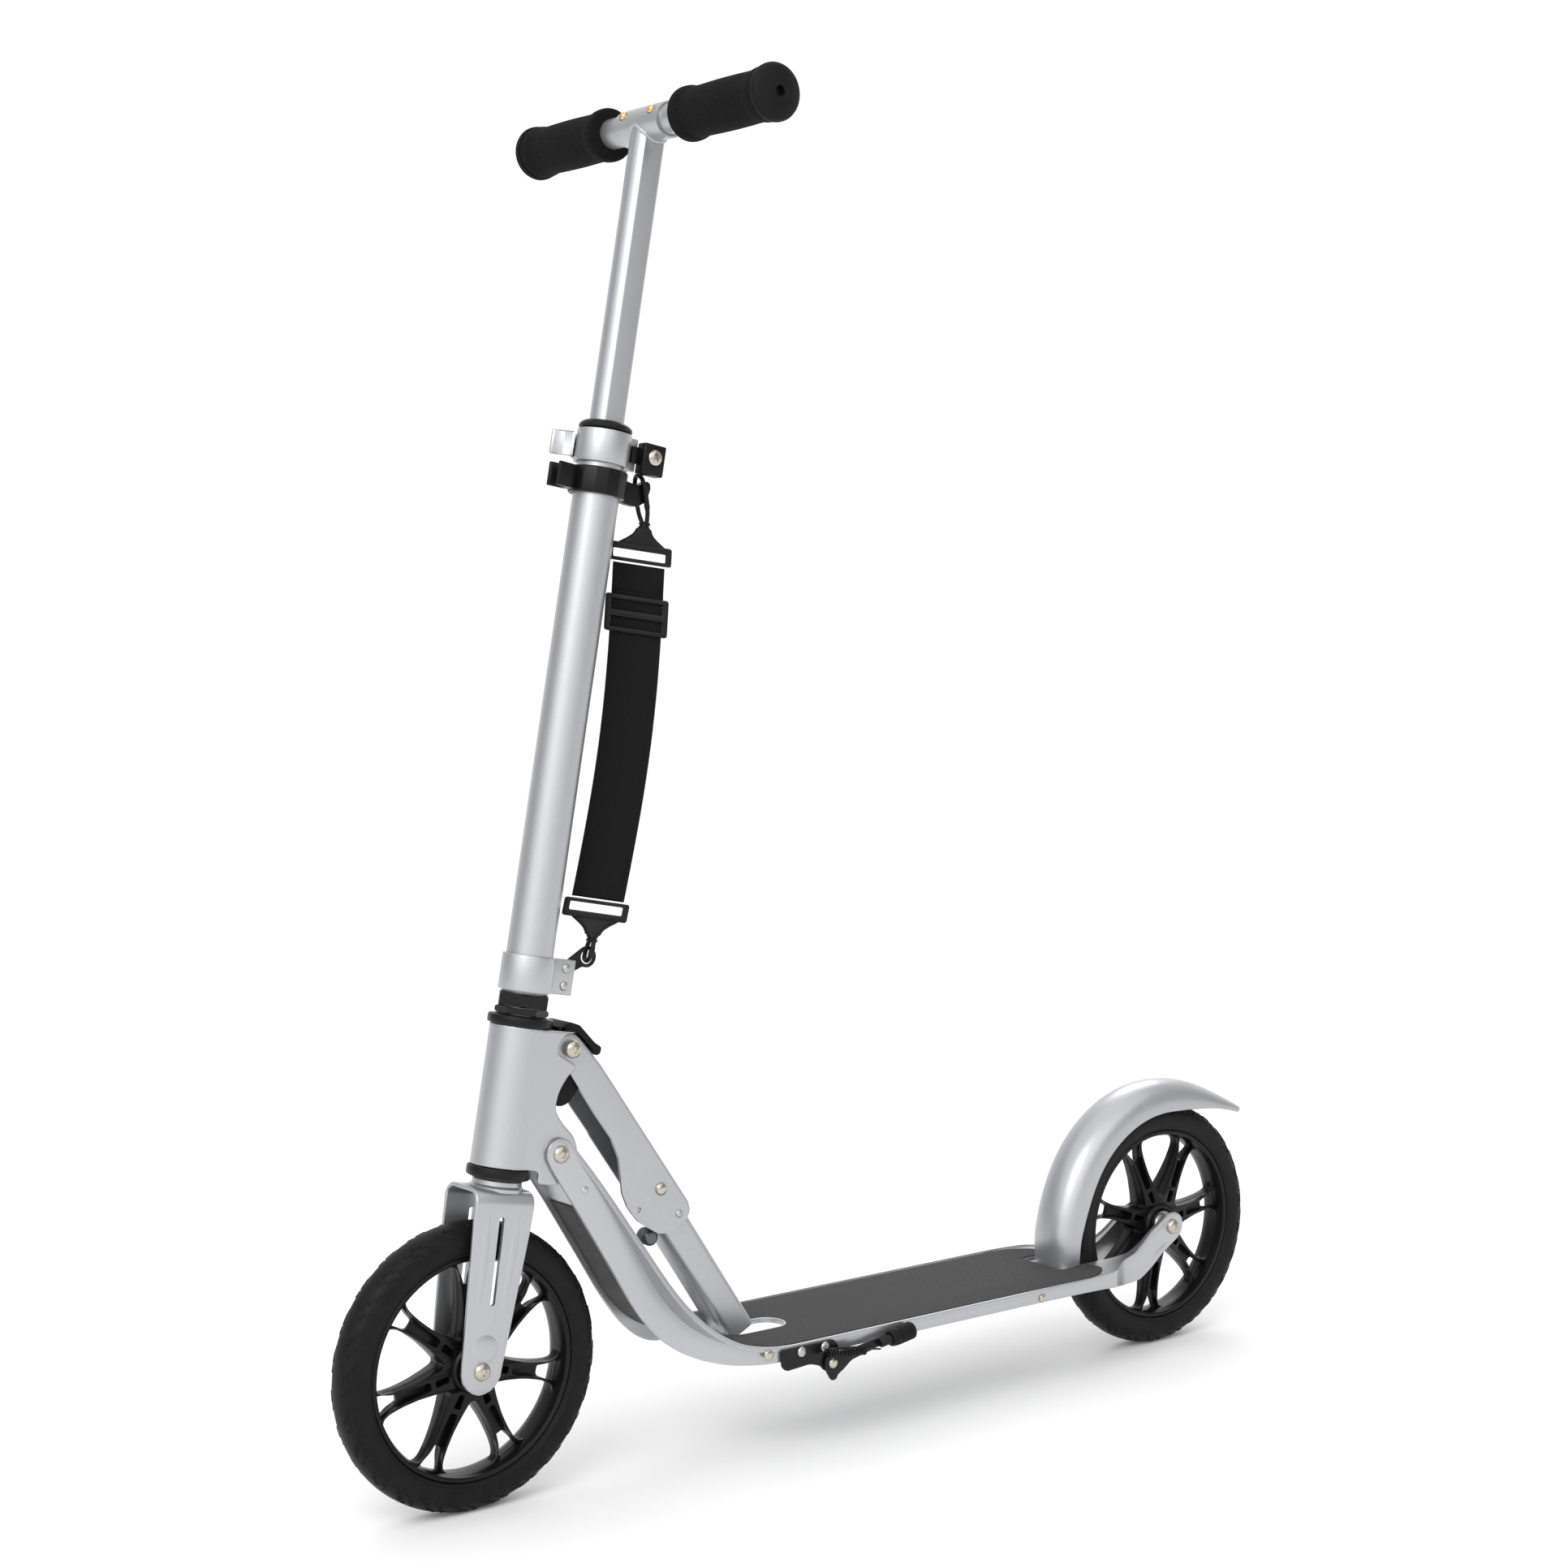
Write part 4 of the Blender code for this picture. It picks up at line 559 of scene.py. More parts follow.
# ---------------------------------------------------------------- wheels
SPOKES = 7
STEP = 2 * math.pi / SPOKES
FIRST_SPOKE = {"front": math.radians(-39), "rear": math.radians(33.7)}
WHEEL_R = span("front_tyre", Matrix.Translation(pivot("front_spin")) @ ALONG_Y)[1][0]
TYRE_HW = span("front_tyre", Matrix.Translation(pivot("front_spin")) @ ALONG_Y)[1][2]
RIM_R = WHEEL_R - 0.0225
LIP_R = RIM_R - 0.0035
RIM_HW = TYRE_HW - 0.0025
CORE_R = 0.0110


def polar(pts):
    return [(r * math.cos(a), r * math.sin(a)) for r, a in pts]


def tyre_point(a, g, lift=0.0):
    """On the tyre at angle a across its section, from side (0) over the tread (90), and g round the wheel."""
    side = 1 if a <= 90 else -1
    t = math.radians(min(a, 180 - a))
    r = WHEEL_R - 0.0122 + (0.0122 + lift) * math.sin(t)
    z = side * (TYRE_HW + lift) * math.cos(t) ** 0.9
    return Vector((r * math.cos(g), r * math.sin(g), z))


def tyre(tag, at):
    seat = RIM_R + 0.0003
    half = [(seat, TYRE_HW - 0.0036), (seat + 0.0003, TYRE_HW - 0.0024), (seat + 0.0012, TYRE_HW - 0.0016),
            (seat + 0.0022, TYRE_HW - 0.0016), (seat + 0.0030, TYRE_HW - 0.0009),
                (seat + 0.0060, TYRE_HW - 0.0002)]
    half += [(WHEEL_R - 0.0122 + 0.0122 * math.sin(math.radians(a)),
        TYRE_HW * max(math.cos(math.radians(a)), 0) ** 0.9)
             for a in range(6, 90, 7)]
    body = lathe(closed(half + [(WHEEL_R, 0)] + [(r, -z) for r, z in reversed(half)]), at, 160)
    # raised lightning lines on both shoulders and fine arcs near the rim
    marks = []
    repeats = 24
    zig = [(22, 0.05), (33, 0.30), (31, 0.44), (45, 0.40), (47, 0.62), (58, 0.52), (61, 0.80), (67, 0.72)]
    hook = [(24, 0.62), (34, 0.72), (38, 0.92), (50, 0.86), (54, 1.05), (66, 1.00)]
    tick = [(14, 0.20), (19, 0.34), (15, 0.50)]
    for k in range(repeats):
        for side in (0, 1):
            for line in (zig, hook, tick):
                pts = []
                for a, f in flowing(line, 3, loop=False):
                    g = 2 * math.pi * (k + f + 0.5 * side) / repeats
                    pts.append(at @ tyre_point(180 - a if side else a, g, -0.00012))
                marks.append(tube(pts, 0.00068, 1))
    return piece(tag + "_tyre_cover", join(body, *marks), "tyre", tag + "_tyre", angle=28)


OPENING = [(0.0238, 0.075), (0.0275, 0.180), (0.0335, 0.270), (0.0430, 0.345), (0.0540, 0.376),
    (0.0640, 0.378),
           (0.0700, 0.362), (0.0735, 0.325), (0.0752, 0.250), (0.0758, 0.120)]


def pierced(outline, half, holes):
    """Plate with through openings cut by prisms, then its rims eased."""
    tools = join(*[loft([[Vector((x, y, z)) for x, y in h] for z in (-2 * half, 2 * half)]) for h in holes])
    me = cut(plate(outline, half, Matrix.Identity(4), edge=0.0003), tools)
    return bevelled(me, 0.0006, 2, 55)


def rim(tag, at):
    w = RIM_HW
    wall = [(RIM_R + 0.0002, w - 0.0006), (RIM_R - 0.0006, w + 0.0001), (RIM_R - 0.0022, w + 0.0001),
            (LIP_R, w - 0.0008), (LIP_R - 0.0006, w - 0.0030), (LIP_R - 0.0014, w * 0.62),
                (LIP_R - 0.0018, w * 0.3)]
    band = lathe(closed(wall + [(r, -z) for r, z in reversed(wall)]), at, 144)
    opening = [(r, STEP / 2 - f * STEP) for r, f in OPENING]
    opening = flowing(opening + [(r, STEP - g) for r, g in reversed(opening)], 4)
    inner_r = LIP_R - 0.0008
    panel_half = [(0.0335, 0.0030), (0.0430, 0.0037), (0.0540, 0.0038), (0.0640, 0.0056), (0.0705, 0.0083),
                  (inner_r - 0.0006, 0.0096)]
    panel = eased([(r, -h) for r, h in panel_half] + [(r, h) for r, h in reversed(panel_half)], 0.0018, 3)
    pocket = eased([(0.0195, -0.0021), (0.0195, 0.0021), (0.0300, 0.0029), (0.0300, -0.0029)], 0.0016, 3)
    window = eased([(0.0580, -0.0040), (0.0580, 0.0040), (0.0745, 0.0078), (0.0745, -0.0078)], 0.0030, 4)
    drops, panels, windows = [], [], []
    for k in range(SPOKES):
        turn = Matrix.Rotation(FIRST_SPOKE[tag] + k * STEP, 2)
        drops.append([tuple(turn @ Vector(p)) for p in polar(opening)])
        panels += [[tuple(turn @ Vector(p)) for p in loop] for loop in (panel, pocket)]
        windows.append([tuple(turn @ Vector(p)) for p in window])
    disc = arc(0, 0, inner_r, 0, 360, 112)[:-1]
    ribs = pierced(disc, 0.0100, drops + panels)
    hub_r = 0.0165
    for v in ribs.vertices:
        r = math.hypot(v.co.x, v.co.y)
        v.co.z *= 1.04 - 0.58 * min(max((r - hub_r) / (inner_r - hub_r), 0), 1)
    web = pierced(disc, 0.0018, drops + windows)
    hub = [(CORE_R, w - 0.0014), (0.0138, w + 0.0010), (0.0150, w + 0.0010), (0.0165, w - 0.0002),
        (0.0172, w - 0.0016),
           (0.0178, w - 0.0050)]
    boss = lathe(closed(hub + [(r, -z) for r, z in reversed(hub)]), at, 72)
    return piece(tag + "_rim_moulding", join(band, moved(ribs, at), moved(web, at), boss), "wheel_plastic",
        tag + "_rim",
                 angle=34)


def bearing(tag, at):
    lo, hi = span(tag + "_bearing_core", at)
    e = hi[2]
    w = RIM_HW
    half = [(0.0044, e), (0.0066, e), (0.0070, e - 0.0005), (0.0070, w + 0.0016), (0.0084, w + 0.0018),
            (0.0088, w + 0.0012), (0.0098, w + 0.0012), (0.0102, w + 0.0018), (CORE_R, w + 0.0016),
                (CORE_R, w - 0.001)]
    return piece(tag + "_bearing", lathe(closed(half + [(r, -z) for r, z in reversed(half)]), at, 64),
        "zinc_steel",
                 tag + "_bearing_core")


for tag in ("front", "rear"):
    at = Matrix.Translation(pivot(tag + "_spin")) @ ALONG_Y
    tyre(tag, at)
    rim(tag, at)
    bearing(tag, at)

FORK_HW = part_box("fork")[1].y
DROP_HW = 0.0255
bolt("front_axle", "front_axle_bolt", pivot("front_spin"), FORK_HW, 0.0064, 0.0034, "bright_steel", 0.0026)
bolt("rear_axle", "rear_axle_bolt", pivot("rear_spin"), DROP_HW, 0.0064, 0.0034, "bright_steel", 0.0026)

# ---------------------------------------------------------------- fork, steerer and headset
RAKE = (STEER.inverted() @ pivot("front_spin")).x
S_CROWN = span("fork", STEER)[1][2] - 0.0055
S_HEAD0, S_HEAD1 = span("head_tube", STEER)[0][2] + 0.0089, span("head_tube", STEER)[1][2]
STEM_R = span("stem_tube", STEER)[1][0]
S_TOP = span("stem_tube", STEER)[1][2]
HEAD_R = STEM_R + 0.0043
HEAD_LEN = S_HEAD1 - S_HEAD0


def fork():
    """One pressed strip: up the near leg, over the crown, down the far leg."""
    t, bend = 0.0030, 0.0085
    width = [(-0.0163, 0.0010), (-0.0155, 0.0052), (-0.0130, 0.0098), (-0.0085, 0.0139), (-0.0030, 0.0160),
             (0.006, 0.0166), (0.030, 0.0184), (S_CROWN - 0.030, 0.0232), (S_CROWN - 0.010, 0.0239),
             (S_CROWN + 0.02, 0.0239)]
    hs, hw = [a for a, _ in width], [b for _, b in width]
    mid = FORK_HW - t / 2
    line = [(mid, s) for s in np.concatenate([np.array(hs[:5]),
        np.linspace(0.006, S_CROWN - bend - t / 2, 22)])]
    line += [(mid - bend + bend * math.cos(g), S_CROWN - t / 2 - bend + bend * math.sin(g))
             for g in np.linspace(0.12, math.pi / 2, 9)]
    line += [(y, S_CROWN - t / 2) for y in np.linspace(mid - bend - 0.002, 0, 4)]
    full = line + [(-y, s) for y, s in reversed(line[:-1])]
    rings = []
    for i, (y, s) in enumerate(full):
        a, b = full[max(i - 1, 0)], full[min(i + 1, len(full) - 1)]
        d = Vector((b[0] - a[0], b[1] - a[1])).normalized()
        out = Vector((d.y, -d.x))
        w = float(np.interp(s, hs, hw))
        r = min(0.0011, w * 0.4)
        ring = []
        for cx, cn, g0 in ((w - r, t / 2 - r, 0), (-w + r, t / 2 - r, 90), (-w + r, -t / 2 + r, 180),
            (w - r, -t / 2 + r, 270)):
            for q in (0, 30, 60, 90):
                g = math.radians(g0 + q)
                n = cn + r * math.sin(g)
                ring.append(STEER @ Vector((RAKE + cx + r * math.cos(g), y + out.x * n, s + out.y * n)))
        rings.append(ring)
    me = loft(rings)
    slot_line = arc(RAKE + 0.0015, S_CROWN - 0.020, 0.0020, 0, 180, 10) + arc(RAKE - 0.0005, 0.048, 0.0020,
        180, 360, 10)
    for s in (1, -1):
        cutter = plate(slot_line, 0.006, STEER @ Matrix.Translation((0, s * FORK_HW, 0)) @ SIDE, edge=0.0001)
        me = cut(me, cutter)
    extra = []
    for s in (1, -1):
        # soft pressed ridges beside the slot and the round pad above the axle
        for off, top in ((-0.0098, 0.016), (0.0104, 0.014)):
            n = 20
            ridge = []
            for i in range(n + 1):
                v = i / n
                w = 0.0012 + 0.0020 * math.sin(math.pi * v) ** 0.5
                h = 0.00055 * math.sin(math.pi * v) ** 0.5
                c = off + (0.0022 if off > 0 else -0.0022) * v
                st = 0.044 + (S_CROWN - top - 0.044) * v
                ridge.append([STEER @ Vector((RAKE + c + w * math.cos(g),
                    s * (FORK_HW - 0.0004 + (0.0004 + h) * math.sin(g)), st))
                              for g in np.linspace(0, math.pi, 9)])
            extra.append(loft(ridge))
        pad = Matrix.Translation(STEER @ Vector((RAKE + 0.0002, s * FORK_HW,
            0.0155))) @ Matrix.Rotation(math.radians(-90 * s), 4, "X")
        extra.append(lathe([(0, 0.0012), (0.0060, 0.0010), (0.0088, 0.0005), (0.0108, -0.0002),
            (0.0108, -0.0010), (0, -0.0010)],
                           pad, 48))
    neck = [(0.0130, S_CROWN - 0.002), (0.0130, S_CROWN + 0.0053), (STEM_R + 0.0004, S_CROWN + 0.0055),
            (STEM_R + 0.0008, S_CROWN + 0.0050), (STEM_R + 0.0010, S_CROWN + 0.0020),
                (STEM_R + 0.0026, S_CROWN + 0.0004),
            (STEM_R + 0.0026, S_CROWN - 0.002)]
    extra.append(lathe(closed(neck), STEER, 72))
    return piece("fork_pressing", join(me, *extra), "silver_alloy", "fork", angle=30)


fork()
lo, hi = span("steerer_tube", STEER)
piece("steerer", lathe(closed([(0.0129, lo[2]), (hi[0], lo[2]), (hi[0], hi[2]), (0.0129, hi[2])]), STEER, 64),
    "zinc_steel",
      "steerer_tube")


def cup(name, node, rows):
    return piece(name, lathe(closed(rows), STEER, 96), "black_plastic", node)


CUP_IN = 0.0150
BORE = HEAD_R - 0.0038
up = S_HEAD1 + 0.0003
cup("upper_bearing_cup", "upper_cup",
    [(CUP_IN, up - 0.009), (BORE, up - 0.009), (BORE, up), (HEAD_R + 0.0010, up),
        (HEAD_R + 0.0019, up + 0.0004),
     (HEAD_R + 0.0022, up + 0.0014), (HEAD_R + 0.0022, up + 0.0052), (HEAD_R + 0.0019, up + 0.0062),
     (HEAD_R + 0.0010, up + 0.0067), (HEAD_R - 0.0012, up + 0.0068), (HEAD_R - 0.0030, up + 0.0070),
         (CUP_IN, up + 0.0072)])
low = S_HEAD0 - 0.0003
cup("lower_bearing_cup", "lower_cup",
    [(CUP_IN, low + 0.009), (BORE, low + 0.009), (BORE, low), (HEAD_R + 0.0008, low),
        (HEAD_R + 0.0016, low - 0.0005),
     (HEAD_R + 0.0018, low - 0.0014), (HEAD_R + 0.0018, low - 0.0056), (HEAD_R + 0.0014, low - 0.0066),
     (HEAD_R + 0.0004, low - 0.0073), (HEAD_R - 0.0010, low - 0.0078), (CUP_IN, low - 0.0078)])


def hexagon_nut(name, node, turn, chamfer):
    """Hex nut with both ends turned down to a cone."""
    lo, hi = span(node, STEER)
    z0, z1 = lo[2], hi[2]
    r = max(np.hypot(*node_points(node, STEER)[:, :2].T))
    m = STEER @ Matrix.Rotation(turn, 4, "Z")
    hexa = lathe(closed([(0.0147, z0), (r, z0), (r, z1), (0.0147, z1)]), m, 6)
    cone = lathe([(0, z0 - 0.001), (r - chamfer * 1.6, z0 - 0.001), (r - chamfer, z0),
        (r + 0.0001, z0 + chamfer * 0.7),
                  (r + 0.0001, z1 - chamfer * 0.7), (r - chamfer, z1), (r - chamfer * 1.6, z1 + 0.001),
                      (0, z1 + 0.001)], m, 64)
    return piece(name, bevelled(boolean(hexa, cone, "INTERSECT"), 0.0003, 2), "black_steel", node, angle=20)


hexagon_nut("head_locknut", "headset_locknut", 0.5, 0.0016)
hexagon_nut("head_nut", "headset_nut", 0.0, 0.0020)

# ---------------------------------------------------------------- head casting and knuckle cover
h0 = S_HEAD0
FIN = [(-0.0030, h0 + HEAD_LEN - 0.0004), (-0.0400, h0 + 0.1000)] + arc(-0.0349, h0 + 0.0880, 0.0121, 62, -20,
    8) + [
    (-0.0412, h0 + 0.0765), (-0.0345, h0 + 0.0695), (-0.0290, h0 + 0.0590), (-0.0272, h0 + 0.0500),
        (-0.0285, h0 + 0.0425),
    (-0.0360, h0 + 0.0345), (-0.0460, h0 + 0.0270), (-0.0505, h0 + 0.0190), (-0.0510, h0 + 0.0100),
        (-0.0480, h0),
    (-0.0425, h0 - 0.0068), (-0.0360, h0 - 0.0088), (-0.0206, h0 - 0.0088), (-0.0215, h0 + 0.0004),
        (-0.0030, h0 + 0.0006)]
FIN_Y0, FIN_Y1 = 0.0170, 0.0200


def head():
    core = lathe([(0, h0), (HEAD_R - 0.0003, h0), (HEAD_R, h0 + 0.0004), (HEAD_R, S_HEAD1 - 0.0004),
        (HEAD_R - 0.0003, S_HEAD1),
                  (0, S_HEAD1)], STEER, 128)
    outline = eased(FIN, 0.004, 3)
    sides = [plate(outline, (FIN_Y1 - FIN_Y0) / 2,
        STEER @ Matrix.Translation((0, s * (FIN_Y0 + FIN_Y1) / 2, 0)) @ SIDE,
                   edge=0.0007) for s in (1, -1)]
    return piece("head_casting", melted(join(core, *sides), 0.00065, 4), "silver_alloy", "head_tube",
        angle=50)


head()
COVER_HW = 0.0136
cover = [(-0.0180, h0 + 0.0994), (-0.0300, h0 + 0.0999)] + arc(-0.0349, h0 + 0.0880, 0.0114, 92, 232, 10) + [
    (-0.0445, h0 + 0.0655), (-0.0500, h0 + 0.0610), (-0.0420, h0 + 0.0482), (-0.0341, h0 + 0.0455),
        (-0.0272, h0 + 0.0500),
    (-0.0180, h0 + 0.0600)]
to_knee = local_frame(pivot("strut_upper_turn"), centre("knee_rivet") * Vector((1, 0,
    1)) - pivot("strut_upper_turn"), "X")
wing = [(-0.0165, 0.0030), (-0.0145, 0.0120), (-0.0070, 0.0172), (0.0040, 0.0187), (0.0115, 0.0197),
    (0.0180, 0.0222),
        (0.0212, 0.0185), (0.0200, 0.0148), (0.0100, 0.0146), (0.0, 0.0132), (-0.0075, 0.0116),
            (-0.0118, 0.0065),
        (-0.0126, 0.0)]
over = [(-0.0248, h0 + 0.0975), (-0.0248, h0 + 0.1028), (-0.0330, h0 + 0.1034), (-0.0415, h0 + 0.1010),
        (-0.0400, h0 + 0.0975)]
piece("knuckle_cover", join(plate(eased(cover, 0.005, 4), COVER_HW, STEER @ SIDE, edge=0.0022, res=4),
                            plate(eased(over, 0.0015, 3), COVER_HW, STEER @ SIDE, edge=0.0010, res=3),
                            plate(eased(wing, 0.0016, 3), COVER_HW, to_knee @ SIDE, edge=0.0010, res=3)),
      "black_rubber", "fold_cover")
bolt("upper_strut_pin", "upper_strut_bolt", pivot("strut_upper_turn"), FIN_Y1, 0.0064, 0.0034, "bright_steel",
    0.0026)
ARM_OUT = 0.0234
bolt("neck_pin", "neck_bolt", pivot("fold"), ARM_OUT, 0.0064, 0.0034, "bright_steel", 0.0026)
bolt("neck_stop", "neck_stop_pin", centre("neck_stop_pin"), ARM_OUT, 0.0027, 0.0008, "zinc_steel",
    shank=0.0018)

# ---------------------------------------------------------------- stem
lo, hi = span("stem_tube", STEER)
piece("stem", lathe(closed([(STEM_R - 0.0018, lo[2]), (STEM_R - 0.0006, lo[2]), (STEM_R, lo[2] + 0.0006),
                            (STEM_R, hi[2] - 0.0006), (STEM_R - 0.0006, hi[2]), (STEM_R - 0.0018, hi[2])]),
                                STEER, 128),
      "silver_alloy", "stem_tube")


def split_band(r0, r1, s0, s1, x_ear, ear_in, ear_out, soft=0.0007):
    """Clamp ring cut open at the back, with two parallel ears."""
    gap = math.degrees(math.asin(ear_in / r0))
    inner = arc(0, 0, r0, 180 - gap, -180 + gap, 84)
    start = math.degrees(math.asin(ear_out / r1))
    outer = arc(0, 0, r1, -180 + start, 180 - start, 90)
    loop = outer + [(-x_ear, ear_out), (-x_ear, ear_in)] + inner + [(-x_ear, -ear_in), (-x_ear, -ear_out)]
    return plate(loop, (s1 - s0) / 2, STEER @ Matrix.Translation((0, 0, (s0 + s1) / 2)), edge=soft)


lo, hi = span("stem_collar", STEER)
c0, c1 = lo[2], hi[2]
piece("stem_collar_band", split_band(STEM_R + 0.0003, STEM_R + 0.0024, c0, c1, -lo[0], 0.0012, 0.0034),
    "silver_alloy",
      "stem_collar")
eye = eased(arc(-0.0480, c0 + 0.0290, 0.0078, 50, 290, 20) + [
    (-0.0375, c0 + 0.0170), (-0.0345, c0 + 0.0025), (-0.0215, c0 + 0.0025), (-0.0215, c0 + 0.0165)], 0.002, 3)
piece("strap_anchor", plate(eye, 0.0009, STEER @ SIDE, [arc(-0.0480, c0 + 0.0290, 0.0052, 0, 360, 32)[:-1]],
    edge=0.0004),
      "black_steel", "strap_eye")
screws = []
for s in (c0 + 0.0064, c0 + 0.0190):
    at = sp(-0.0300, s)
    screws += [button_head(at, side, 0.0034, 0.0017, 0.0036, 0.0015, 0.0010) for side in (1, -1)]
screws.append(rod(sp(-0.03, c0 + 0.019, -0.0036), sp(-0.03, c0 + 0.019, 0.0036), 0.0017, 16))
screws.append(rod(sp(-0.03, c0 + 0.0064, -0.0036), sp(-0.03, c0 + 0.0064, 0.0036), 0.0017, 16))
piece("collar_screws", join(*screws), "zinc_steel", "collar_screw", angle=40)

# ---------------------------------------------------------------- height clamp
t1 = S_TOP
TBAR_R = 0.0125
bush = [(TBAR_R + 0.0003, t1 - 0.024), (STEM_R - 0.0021, t1 - 0.024), (STEM_R - 0.0021, t1 + 0.0003),
        (STEM_R + 0.0018, t1 + 0.0003), (STEM_R + 0.0023, t1 + 0.0008), (STEM_R + 0.0026, t1 + 0.0018),
        (STEM_R + 0.0022, t1 + 0.0032), (STEM_R + 0.0008, t1 + 0.0048), (STEM_R - 0.0010, t1 + 0.0058),
        (TBAR_R + 0.0014, t1 + 0.0062), (TBAR_R + 0.0003, t1 + 0.0060)]
piece("slide_bush", lathe(closed(bush), STEER, 96), "black_plastic", "height_bush")
lo, hi = span("clamp_ring", STEER)
q0, q1 = lo[2], hi[2]
qm = (q0 + q1) / 2
piece("clamp_band", split_band(STEM_R + 0.0003, STEM_R + 0.0030, q0, q1, -lo[0], 0.0030, 0.0060),
    "silver_alloy", "clamp_ring")
lo, hi = span("clamp_nut_block", STEER)
body = block((lo[0], lo[1], lo[2]), (-0.0206 - 0.0044, hi[1], hi[2]), STEER, 0.0012, 3)
tongue = block((-0.0290, lo[1], qm - 0.006), (hi[0], lo[1] + 0.0032, qm + 0.006), STEER, 0.0006)
rim_ring = lathe(closed([(0.0060, 0), (0.0070, 0), (0.0074, 0.0004), (0.0070, 0.0010), (0.0062, 0.0010),
    (0.0058, 0.0004)]),
                 Matrix.Translation(sp(-0.0345, qm, hi[1] - 0.0006)) @ ALONG_Y, 48)
piece("clamp_block", join(body, tongue, rim_ring), "black_plastic", "clamp_nut_block")
m = Matrix.Translation(sp(-0.0345, qm, hi[1] - 0.0001)) @ ALONG_Y
screw = lathe([(0, 0.0026), (0.0018, 0.00255), (0.0034, 0.0022), (0.0047, 0.0016), (0.0055, 0.0010),
    (0.0058, 0.0005),
               (0.0058, 0.0002), (0.0020, 0.0002), (0.0020, -0.0070), (0, -0.0070)], m, 56)
for a in (20, 110):
    screw = cut(screw, moved(block((-0.0029, -0.00055, 0.0008), (0.0029, 0.00055, 0.004), Matrix.Identity(4),
        0.0001, 1),
                             m @ Matrix.Rotation(math.radians(a), 4, "Z")))
piece("clamp_screw_head", screw, "bright_steel", "clamp_screw", angle=40)
piece("lever_hinge", join(rod(sp(-0.0218, qm, 0.0092), sp(-0.0218, qm, -0.0068), 0.0016, 24),
                          rod(sp(-0.0218, qm, -0.0062), sp(-0.0218, qm, -0.0077), 0.0026, 32, 0.0003)),
                              "zinc_steel",
      "lever_pin")
lo, hi = span("clamp_lever", STEER)
r_a, r_b = STEM_R + 0.0042, STEM_R + 0.0062
blade = polar([(r_b, math.radians(a)) for a in range(232, 340, 4)])
lip = [(0.0300, -0.0205), (0.0325, -0.0195), (0.0315, -0.0175), (0.0265, -0.0160)]
back = polar([(r_a, math.radians(a)) for a in range(338, 232, -4)])
cam = [(-0.0148, -0.0150)] + arc(-0.0218, -0.0150, 0.0060, 20, 270, 24)
lever = plate(blade + eased(lip, 0.0015, 3, loop=False) + back + cam, (hi[2] - lo[2]) / 2,
              STEER @ Matrix.Translation((0, 0, (lo[2] + hi[2]) / 2)), edge=0.0008)
piece("quick_lever", lever, "silver_alloy", "clamp_lever")

# ---------------------------------------------------------------- strap holder ring
k0 = t1 - 0.0470
ring_out = STEM_R + 0.0040
facets = 14
ring_line = [(ring_out * math.cos(2 * math.pi * i / facets), ring_out * math.sin(2 * math.pi * i / facets))
             for i in range(facets)]
ring_body = plate(eased(ring_line, 0.0012, 3), 0.0095, STEER @ Matrix.Translation((0, 0, k0 + 0.0095)),
                  [arc(0, 0, STEM_R + 0.0002, 0, 360, 72)[:-1]], edge=0.0008)
prong = [(0.0195, -0.0050), (0.0245, -0.0085), (0.0370, -0.0095), (0.0370, -0.0065), (0.0270, -0.0050),
    (0.0270, 0.0010),
         (0.0370, 0.0030), (0.0370, 0.0060), (0.0240, 0.0050), (0.0185, 0.0030)]
prong_body = plate(eased(prong, 0.0020, 3), 0.0085, STEER @ Matrix.Translation((0, 0, k0 + 0.0095)),
    edge=0.0007)
arm = [(-0.0180, k0 + 0.0002), (-0.0180, k0 + 0.0165), (-0.0260, k0 + 0.0150), (-0.0340, k0 + 0.0150),
       (-0.0380, k0 + 0.0190), (-0.0420, k0 + 0.0185), (-0.0435, k0 + 0.0140), (-0.0410, k0 + 0.0040),
       (-0.0340, k0 - 0.0010), (-0.0250, k0 - 0.0010)]
arm_body = plate(eased(arm, 0.0022, 4), 0.0040, STEER @ SIDE, edge=0.0012)
piece("strap_holder", join(ring_body, prong_body, arm_body), "black_plastic", "strap_ring")

# ---------------------------------------------------------------- carry strap
STRAP_YAW = math.radians(32)
STRAP_HW = 0.019
ACROSS = Vector((-math.cos(STRAP_YAW), math.sin(STRAP_YAW), 0))
U_TOP, U_LOW = t1 - 0.0870, c0 + 0.0700


def bow(s):
    g = (s - U_LOW) / (U_TOP - U_LOW)
    return 0.0445 + 0.0060 * (1 - g) + 0.0070 * math.sin(math.pi * g)


def strap_pt(s, across=0.0, out=0.0, d=None):
    """Along the axis, across the webbing and out of its face."""
    return STEER @ (Vector((-(bow(s) if d is None else d), 0, s)) + ACROSS * across + Vector(
        (ACROSS.y, -ACROSS.x, 0)) * out)


